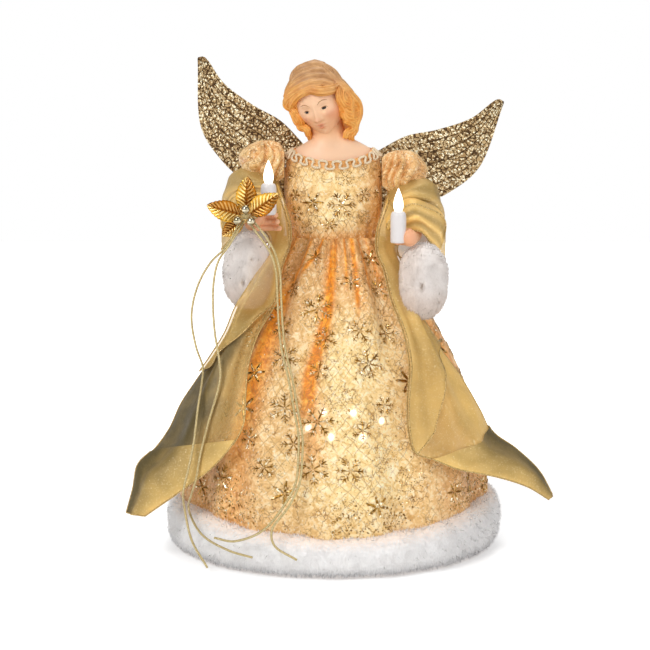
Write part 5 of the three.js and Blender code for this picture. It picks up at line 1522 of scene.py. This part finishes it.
def make_drape(side):
    """A panel from the shoulder down, its turned-out flap, and a shorter layer in front."""
    tag = SIDES[side]
    edges = drape_edges(side)
    u = np.linspace(0, 1, 60)
    cut = drape_share(edges, u, lerp(*TURN_OUT[side], u))
    hem = drape_share(edges, u, np.interp(u, np.linspace(0, 1, 5), FRONT_HEM[side]))
    outer = (smooth(0.18, 0.44, u) if side < 0 else smooth(0.35, 0.65, u))[None]
    v = {"panel": shares(130) * cut, "flap": lerp(cut - 0.015, 1, shares(50)), "front": shares(110) * hem}
    high = smooth(0.3, 0.1, v["panel"])
    tip = u[::-1][None] ** 1.2
    # tone is painted light and shade: on the figure's right the outer, lower panel lies in painted shade,
    # made more opaque by layer, and on both sides the flaps darken towards their outer ends; lit is a painted
    # glow.
    if side < 0:
        tone = {"panel": 0.62 - 0.6 * outer * (1 - high), "flap": 0.9 * tip - 0.1, "front": 0.55 + 0.35 * u}
        layer = {"panel": 0.58 * outer + 0.3 * high - 0.06, "flap": 0.56, "front": 0.16}
        lit = {"panel": 0.3 * (1 - outer) + 0.4 * high, "flap": 0.1 * tip, "front": 0.15}
    else:
        tone = {"panel": 0.75 - 0.1 * outer, "flap": 0.85 * tip - 0.05, "front": 0.72 - 0.12 * u}
        layer = {"panel": 0.05 + 0.46 * outer + 0.3 * high, "flap": 0.56, "front": 0.26}
        lit = {"panel": 0.15 + 0.3 * outer + 0.25 * high, "flap": 0.12 * tip, "front": 0.12}
    stand_off = {"panel": 0.0, "flap": 1.4, "front": 3.0}
    pile = Pile()
    for part in ("panel", "flap", "front"):
        pts, away = drape_at(edges, u[None], v[part], 91 + side)
        pts = pts + away * stand_off[part]
        if side < 0 and part == "front":
            pts[..., 1] -= OVER_CUFF * gauss(pts[..., 2] - 222, 21) * smooth(0.0, 0.55, u)[None]
        looks = (("tone", tone), ("layer", layer), ("lit", lit))
        attrs = {key: value[part] + 0 * v[part] for key, value in looks}
        uv = np.stack([u[None] * 0.6 + 0 * v[part], v[part] * 2.6], -1)
        obj = grid(f"{tag}_drape_{part}", pts, uv=uv, attrs=attrs, flip=side > 0)
        finish_piece(obj, f"{tag}_arm", "organza", SHEER, *([f"{tag}_drape"] if part == "panel" else []))
        declare_sheet(pts)
        for line in (pts[:, 0], pts[:, -1], pts[-1]):
            if np.linalg.norm(np.diff(line, axis=0), axis=1).sum() > 12:
                pile.tube(line, 0.6, 6)
    finish_piece(pile.make(f"{tag}_drape_edge"), f"{tag}_arm", "organza", GLITTER)


def grid_area(pts):
    a = np.cross(pts[:-1, 1:] - pts[:-1, :-1], pts[1:, :-1] - pts[:-1, :-1])
    b = np.cross(pts[1:, 1:] - pts[1:, :-1], pts[1:, 1:] - pts[:-1, 1:])
    return 0.5 * (np.linalg.norm(a, axis=-1).sum() + np.linalg.norm(b, axis=-1).sum())


# Hands and candles

def remeshed(name, pile, voxel, rounds):
    """The union of several bodies as one smooth skin."""
    rough = pile.make(name + "_rough")
    remesh = rough.modifiers.new("skin", "REMESH")
    remesh.mode = "VOXEL"
    remesh.voxel_size = voxel * MM
    soft = rough.modifiers.new("soft", "SMOOTH")
    soft.iterations = rounds
    soft.factor = 0.5
    bpy.context.view_layer.update()
    me = bpy.data.meshes.new_from_object(rough.evaluated_get(bpy.context.evaluated_depsgraph_get()))
    me.name = name
    bpy.data.objects.remove(rough)
    for poly in me.polygons:
        poly.use_smooth = True
    return new_object(name, me)


def ball(pile, centre, radii, rows=14, cols=20):
    p = np.linspace(0.01, math.pi - 0.01, rows)[:, None]
    a = around(cols)
    unit = np.stack([np.sin(p) * np.cos(a), np.sin(p) * np.sin(a), np.cos(p) + 0 * a], -1)
    verts, quads, tris = closed_rings(unit, [0, 0, 1], [0, 0, -1])
    pile.add(verts * radii + centre, quads[:, ::-1], tris[:, [1, 0, 2]])


def limb(pile, points, r0, r1):
    """A tapered tube with round ends."""
    path = catmull(points, 16)
    r = np.linspace(r0, r1, 16)
    pile.tube(path, r, 14)
    ball(pile, path[0], (r0, r0, r0), 8, 12)
    ball(pile, path[-1], (r1, r1, r1), 8, 12)


def make_hand(side):
    """A fist beside the candle: three fingers round it from behind and a thumb outside."""
    tag = SIDES[side]
    fist = arm(side, 19, 60, GRIP[side])
    grip = arm(side, 10, 60, GRIP[side])
    behind = 8.74  # middle of a finger from the candle's axis
    pile = Pile()
    limb(pile, [arm(side, 24, 20, -36), arm(side, 25, 38, -46), arm(side, 21, 54, GRIP[side] - 1)], 5.6, 5.0)
    ball(pile, fist, (6.6, 7.2, 6.8))
    for k in range(3):
        up = 2 - 5.2 * k if side < 0 else 5 - 4.4 * k
        reach = 4.5 + 1.5 * k if side < 0 else 0
        last = -1 if side < 0 else behind
        bend = [
            fist + [0, 5, up], grip + [2 * side, behind, up],
            grip + [-0.75 * side * reach, 0.8 * behind, up], grip + [-side * (reach + 1), last, up],
        ]
        limb(pile, bend, 2.6, 2.2)
    tip = 11 if side < 0 else 5
    thumb = [fist + [0, -2, 2], grip + [side * (behind + 1), -3, tip - 3], grip + [side * behind, -3, tip]]
    limb(pile, thumb, 2.6, 2.2)
    obj = remeshed(f"{tag}_hand_skin", pile, 0.55, 4)
    blush = 0.35 + 0.4 * smooth(fist[1], fist[1] - 8, vertices(obj)[:, 1] / MM)
    zero = 0 * blush
    add_fields(obj.data, {"lip": zero, "blush": blush, "shade": zero, "pale": zero + 0.3})
    finish_piece(obj, f"{tag}_arm", "porcelain_skin", SKIN, f"{tag}_hand")
    make_candle(side)


# Profiles as (radius, height)
CANDLE_TALL = 25.0
CANDLE_PROFILE = [
    (0, 0), (4.6, 0), (5.7, 0.3), (6.15, 1.0), (6.2, 4), (6.2, 19), (6.1, 21.4), (5.6, 23.6), (4.4, 24.8),
    (3.2, 25.0), (3.05, 24.6), (3.05, 15), (0, 15),
]
FLAME_PROFILE = [
    (2.9, 0.3), (3.7, 2.4), (3.9, 5), (3.55, 8.4), (2.5, 12.2), (1.25, 15.6), (0.5, 17.4), (0.02, 18.3),
]
BULB_STEM = [(0, -10), (2.55, -10), (2.55, 0.25)]
CANDLE_UP = {-1: 2, 1: -4}  # foot above the grip


def make_candle(side):
    tag = SIDES[side]
    foot = arm(side, 10, 60, GRIP[side] + CANDLE_UP[side])
    candle = lathe(f"{tag}_candle_tube", CANDLE_PROFILE, 48, foot)
    finish_piece(candle, f"{tag}_arm", "white_plastic", CANDLE, f"{tag}_candle")
    whole = np.vstack([BULB_STEM, smooth_profile(FLAME_PROFILE, 6)])
    bulb = lathe(f"{tag}_flame_bulb", whole, 40, foot + [0, 0, CANDLE_TALL])
    finish_piece(bulb, f"{tag}_bulb", "lamp_glass", FLAME, f"{tag}_candle_bulb")


# Sprig

# Each leaf's direction in degrees, its size and its layer
LEAVES = {
    "leaf_upper": (88, 1, 1), "leaf_inner": (34, 1, 0),
    "leaf_outer": (164, 1, 0), "leaf_lower": (220, 0.75, 1),
}
LEAF_LENGTH, LEAF_WIDTH, LEAF_LAYER, LEAF_START = 27.0, 15.5, 4.5, 3.6
BERRIES = [(0.3, 5.5), (-6, -3), (4.4, -3.6)]
BERRY_R, HUB_R = 3.4, 2.6


def make_leaf(name, aim, size, layer):
    """A stamped leaf with a raised rib and pressed side veins. layer 1 lies behind."""
    v = np.linspace(0.02, 1, 70)[:, None]
    u = np.linspace(-1, 1, 41)[None]
    width = LEAF_WIDTH * size * np.sin(math.pi * v**0.8) ** 0.8 + 0.4
    across = 0.5 * u * width * (1 + 0.05 * np.abs(np.sin(v * 34)))
    vein = np.abs(np.sin(9 * math.pi * (v - 0.2 * np.abs(u))))
    y = -3.2 * np.sin(0.8 * math.pi * v) - 0.34 * np.abs(across)
    y = y - 1.1 * vein * (1 - np.abs(u)) ** 0.5 * np.minimum(1, 6 * np.abs(u))
    a = math.radians(aim)
    c, s = math.cos(a), math.sin(a)
    along = LEAF_LENGTH * size * v + 0 * u
    pts = np.stack([along * c - across * s, y, along * s + across * c], -1)
    # rib and half carry the painted highlights on the ribs and the painted light and shade of the two halves.
    rib = smooth(0.8, 1.0, vein) * smooth(0.95, 0.75, np.abs(u))
    attrs = {"rib": rib, "half": smooth(-0.06, 0.06, u) + 0 * v}
    obj = grid(name + "_foil", pts + HUB + [LEAF_START * c, LEAF_LAYER * layer, LEAF_START * s], attrs=attrs)
    thick = obj.modifiers.new("sheet", "SOLIDIFY")
    thick.thickness = 0.5 * MM
    finish_piece(obj, "right_arm", "gold_foil", LEAF_GOLD, name)


def make_sprig():
    wire = Pile()
    ball(wire, HUB, (HUB_R, HUB_R, HUB_R))
    for name, (aim, size, layer) in LEAVES.items():
        make_leaf(name, aim, size, layer)
        a = math.radians(aim)
        foot = HUB + [3.4 * math.cos(a), LEAF_LAYER * layer, 3.4 * math.sin(a)]
        wire.tube(catmull([HUB, foot], 6), 0.7, 8)
    stand = HUB_R + SEAT + BERRY_R + 1.5
    for k, (x, z) in enumerate(BERRIES):
        centre = HUB + [x, -stand, z]
        berry = Pile()
        ball(berry, centre, (BERRY_R, BERRY_R, BERRY_R), 28, 40)
        finish_piece(berry.make(f"berry_ball_{k + 1}"), "right_arm", "gold_foil", BERRY, f"berry_{k + 1}")
        wire.tube(catmull([HUB, lerp(HUB, centre, 0.6)], 8), 0.8, 8)
    wire.tube(catmull([arm(-1, 19, 68.8, -40), HUB + [4, 6, 0], HUB], 12), 0.9, 8)
    finish_piece(wire.make("sprig_wire"), "right_arm", "steel_wire", CORD, "sprig_stem")


# Routes of the gold cords: degrees round the hub where each leaves it, and the points it follows
CORD_R, CORD_START = 0.9, 3.6
CORDS = {
    "gold_cord_outer": (200, [
        [-82, -86, 254], [-95, -83, 241], [-106, -76, 222], [-112, -68, 197], [-109, -64, 172],
        [-104, -63, 156], [-104, -74, 144], [-106, -87, 127], [-109, -92, 101], [-113, -100, 80],
        [-117, -100, 63], [-117, -90, 47], [-111, -98, 24], [-98, -109, 5]]),
    "gold_cord_second": (250, [
        [-80, -90, 255], [-89, -86, 242], [-93, -83, 226], [-94, -80, 206], [-93, -76, 184],
        [-90, -75, 164], [-89, -79, 149], [-98, -88, 115], [-104, -93, 91], [-107, -99, 73],
        [-112, -91, 57], [-115, -80, 45], [-103, -102, 30], [-80, -121, 22], [-62, -129, 19]]),
    "gold_cord_third": (290, [
        [-58, -86, 262], [-49, -82, 248], [-45, -79, 234], [-44, -77, 214], [-43, -75, 193],
        [-41, -79, 174], [-35, -93, 151], [-31, -103, 131], [-27, -112, 110], [-27, -116, 95],
        [-29, -120, 75], [-38, -124, 58], [-54, -129, 40], [-76, -123, 30], [-92, -113, 30]]),
    "gold_cord_fourth": (340, [
        [-55, -84, 264], [-46, -81, 249], [-42, -79, 234], [-41, -77, 214], [-40, -76, 193],
        [-38, -80, 174], [-32, -93, 151], [-28, -104, 131], [-24, -112, 110], [-24, -117, 95],
        [-26, -121, 75], [-34, -125, 58], [-47, -132, 41], [-45, -135, 30], [-28, -136, 19]]),
}


def make_cords():
    for name, (turn, points) in CORDS.items():
        a = math.radians(turn)
        start = HUB + CORD_START * np.array([math.cos(a), 0, math.sin(a)])
        path = catmull(np.vstack([start, points]), 120)
        data = bpy.data.curves.new(name + "_strand", "CURVE")
        data.dimensions = "3D"
        data.bevel_depth = CORD_R * MM
        data.bevel_resolution = 3
        data.use_fill_caps = True
        spline = data.splines.new("POLY")
        spline.points.add(len(path) - 1)
        spline.points.foreach_set("co", np.c_[path * MM, np.ones(len(path))].ravel())
        obj = new_object(name + "_strand", data)
        finish_piece(obj, "right_arm", "gold_cord", CORD, name)


# Wings

# Outline from the root to the tip, outwards and up from the stalk
WING_LEADING = (-2, 10), (10, 28), (30, 41), (50, 51), (75, 56), (105, 66), (128, 82), (133, 80)
WING_TRAILING = (0, -10), (14, -12), (40, -9), (66, -6), (88, 4), (112, 24), (133, 79)
WING_SPAN = 133
WING_TURN = {-1: 18, 1: 0}  # degrees that each wing is raised
WING_ROOT = (13.0, 32.78, 288.3)


def make_wing(side):
    tag = SIDES[side]
    lead, trail = (catmull([(x, 0, z) for x, z in edge], 150) for edge in (WING_LEADING, WING_TRAILING))
    u = np.linspace(0, 1, 84)[None]
    v = shares(150)
    flat = lead[:, None] * (1 - u[..., None]) + trail[:, None] * u[..., None]
    x, z = flat[..., 0], flat[..., 2]
    camber = 4 * np.sin(math.pi * u) * np.sin(math.pi * v)
    mid = 14 * (np.maximum(0, x) / WING_SPAN) ** 2 - camber
    edge = np.sin(math.pi * u) ** 0.6
    depth = 1.4 + 3.6 * edge * (1 - 0.75 * v)
    ribs = np.abs(np.sin(math.pi * (6.5 * u + 0.8 * np.sin(3 * v) + 0.25 * ripple(u * 5, v * 9, 3))))
    vein = gauss(ribs, 0.17) * np.minimum(1, edge * 1.3)
    grain = ripple(x * 1.7, z * 1.7, 17, 14) + ripple(x * 3.1, z * 3.1, 19, 14)
    relief = 0.5 * grain * edge - 0.9 * vein
    rim = gauss(np.minimum(u, 1 - u), 0.035)
    front = mid - relief * 0.9 - 0.9 * rim
    back = mid + depth + relief * 0.9 + 0.9 * rim
    turn = math.radians(WING_TURN[side])

    def placed(y):
        px, pz = x * math.cos(turn) - z * math.sin(turn), x * math.sin(turn) + z * math.cos(turn)
        return np.stack([px, y, pz], -1) * [side, 1, 1] + np.multiply([side, 1, 1], WING_ROOT)

    faces = np.concatenate([placed(front), placed(back)[:, ::-1]], 1)
    tone = np.concatenate([vein, vein[:, ::-1]], 1)
    obj = grid(f"{tag}_wing_relief", faces, wrap=True, attrs={"tone": np.clip(tone, 0, 1)}, flip=side < 0)
    finish_piece(obj, f"{tag}_wing_body", "antique_gold", WING, f"{tag}_wing")


# Materials on the inner pieces that keep their solids

def dress_nodes():
    wanted = {"cone_core": FORM, "torso_form": FORM, "light_string_lead": CANDLE}
    for k in range(1, 7):
        wanted[f"light_socket_{k}"] = CANDLE
        wanted[f"light_lamp_{k}"] = LAMP
    for tag in SIDES.values():
        wanted[f"{tag}_arm_wire"] = STEEL
        wanted[f"{tag}_wing_stalk"] = STEEL
    for name, material in wanted.items():
        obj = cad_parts[name]
        obj.data.materials.clear()
        obj.data.materials.append(material)


# Stage

FLOOR_HALF = 4000.0
WORLD_LIGHT, WORLD_SEEN = 0.42, 1.0  # strength as a light, and as the camera sees it
# Place in metres, size in metres and power in watts
LIGHTS = [
    ("key", (-0.9, -1.3, 1.3), 0.8, 17), ("fill", (1.1, -1.1, 0.7), 1.1, 6), ("top", (0.1, 0.3, 1.7), 0.8, 8),
]


def make_stage():
    """A pale floor that keeps the shadow and runs out into white, soft lights and a white world."""
    corners = FLOOR_HALF * np.array([[-1, -1, 0], [1, -1, 0], [1, 1, 0], [-1, 1, 0]])
    floor = new_mesh("floor", corners, quads=[[0, 1, 2, 3]])
    m = Mat("floor_pale", (0.9, 0.9, 0.9), 0.7)
    path = m.node("ShaderNodeLightPath").outputs
    seen = m.add(path["Is Glossy Ray"], path["Is Transmission Ray"])
    seen = m.add(path["Is Camera Ray"], seen, clamp=True)
    away = m.node("ShaderNodeVectorMath", {0: m.coords()}, operation="LENGTH").outputs["Value"]
    m.set("Base Color", m.mix(m.noise(3, 2), (0.86, 0.86, 0.86), (0.9, 0.9, 0.9)))
    m.set("Emission Color", (1.0, 1.0, 1.0))
    m.set("Emission Strength", m.mul(seen, m.level(away, 0.2, 0.8, 0.38, 1.2)))
    floor.data.materials.append(m.mat)
    world = bpy.data.worlds.new("studio")
    world.use_nodes = True
    tree = world.node_tree
    back = tree.nodes["Background"]
    back.inputs["Color"].default_value = (1, 1, 1, 1)
    rays = tree.nodes.new("ShaderNodeLightPath").outputs
    total = tree.nodes.new("ShaderNodeMath")
    tree.links.new(rays["Is Camera Ray"], total.inputs[0])
    tree.links.new(rays["Is Transmission Ray"], total.inputs[1])
    level = tree.nodes.new("ShaderNodeMapRange")
    level.inputs[3].default_value = WORLD_LIGHT
    level.inputs[4].default_value = WORLD_SEEN
    tree.links.new(total.outputs[0], level.inputs[0])
    tree.links.new(level.outputs[0], back.inputs["Strength"])
    scene.world = world
    for name, at, side, power in LIGHTS:
        data = bpy.data.lights.new(name, "AREA")
        data.size = side
        data.energy = power
        obj = new_object(name, data)
        obj.location = at
        obj.rotation_euler = (Vector((0, 0, 0.2)) - Vector(at)).to_track_quat("-Z", "Y").to_euler()


make_cords()
make_skirt()
make_print()
make_bodice()
make_braid()
make_head()
make_hem()
for side in SIDES:
    make_puff(side)
    make_oversleeve(side)
    make_cuff(side)
    make_drape(side)
    make_hand(side)
    make_wing(side)
make_sprig()
dress_nodes()
make_stage()
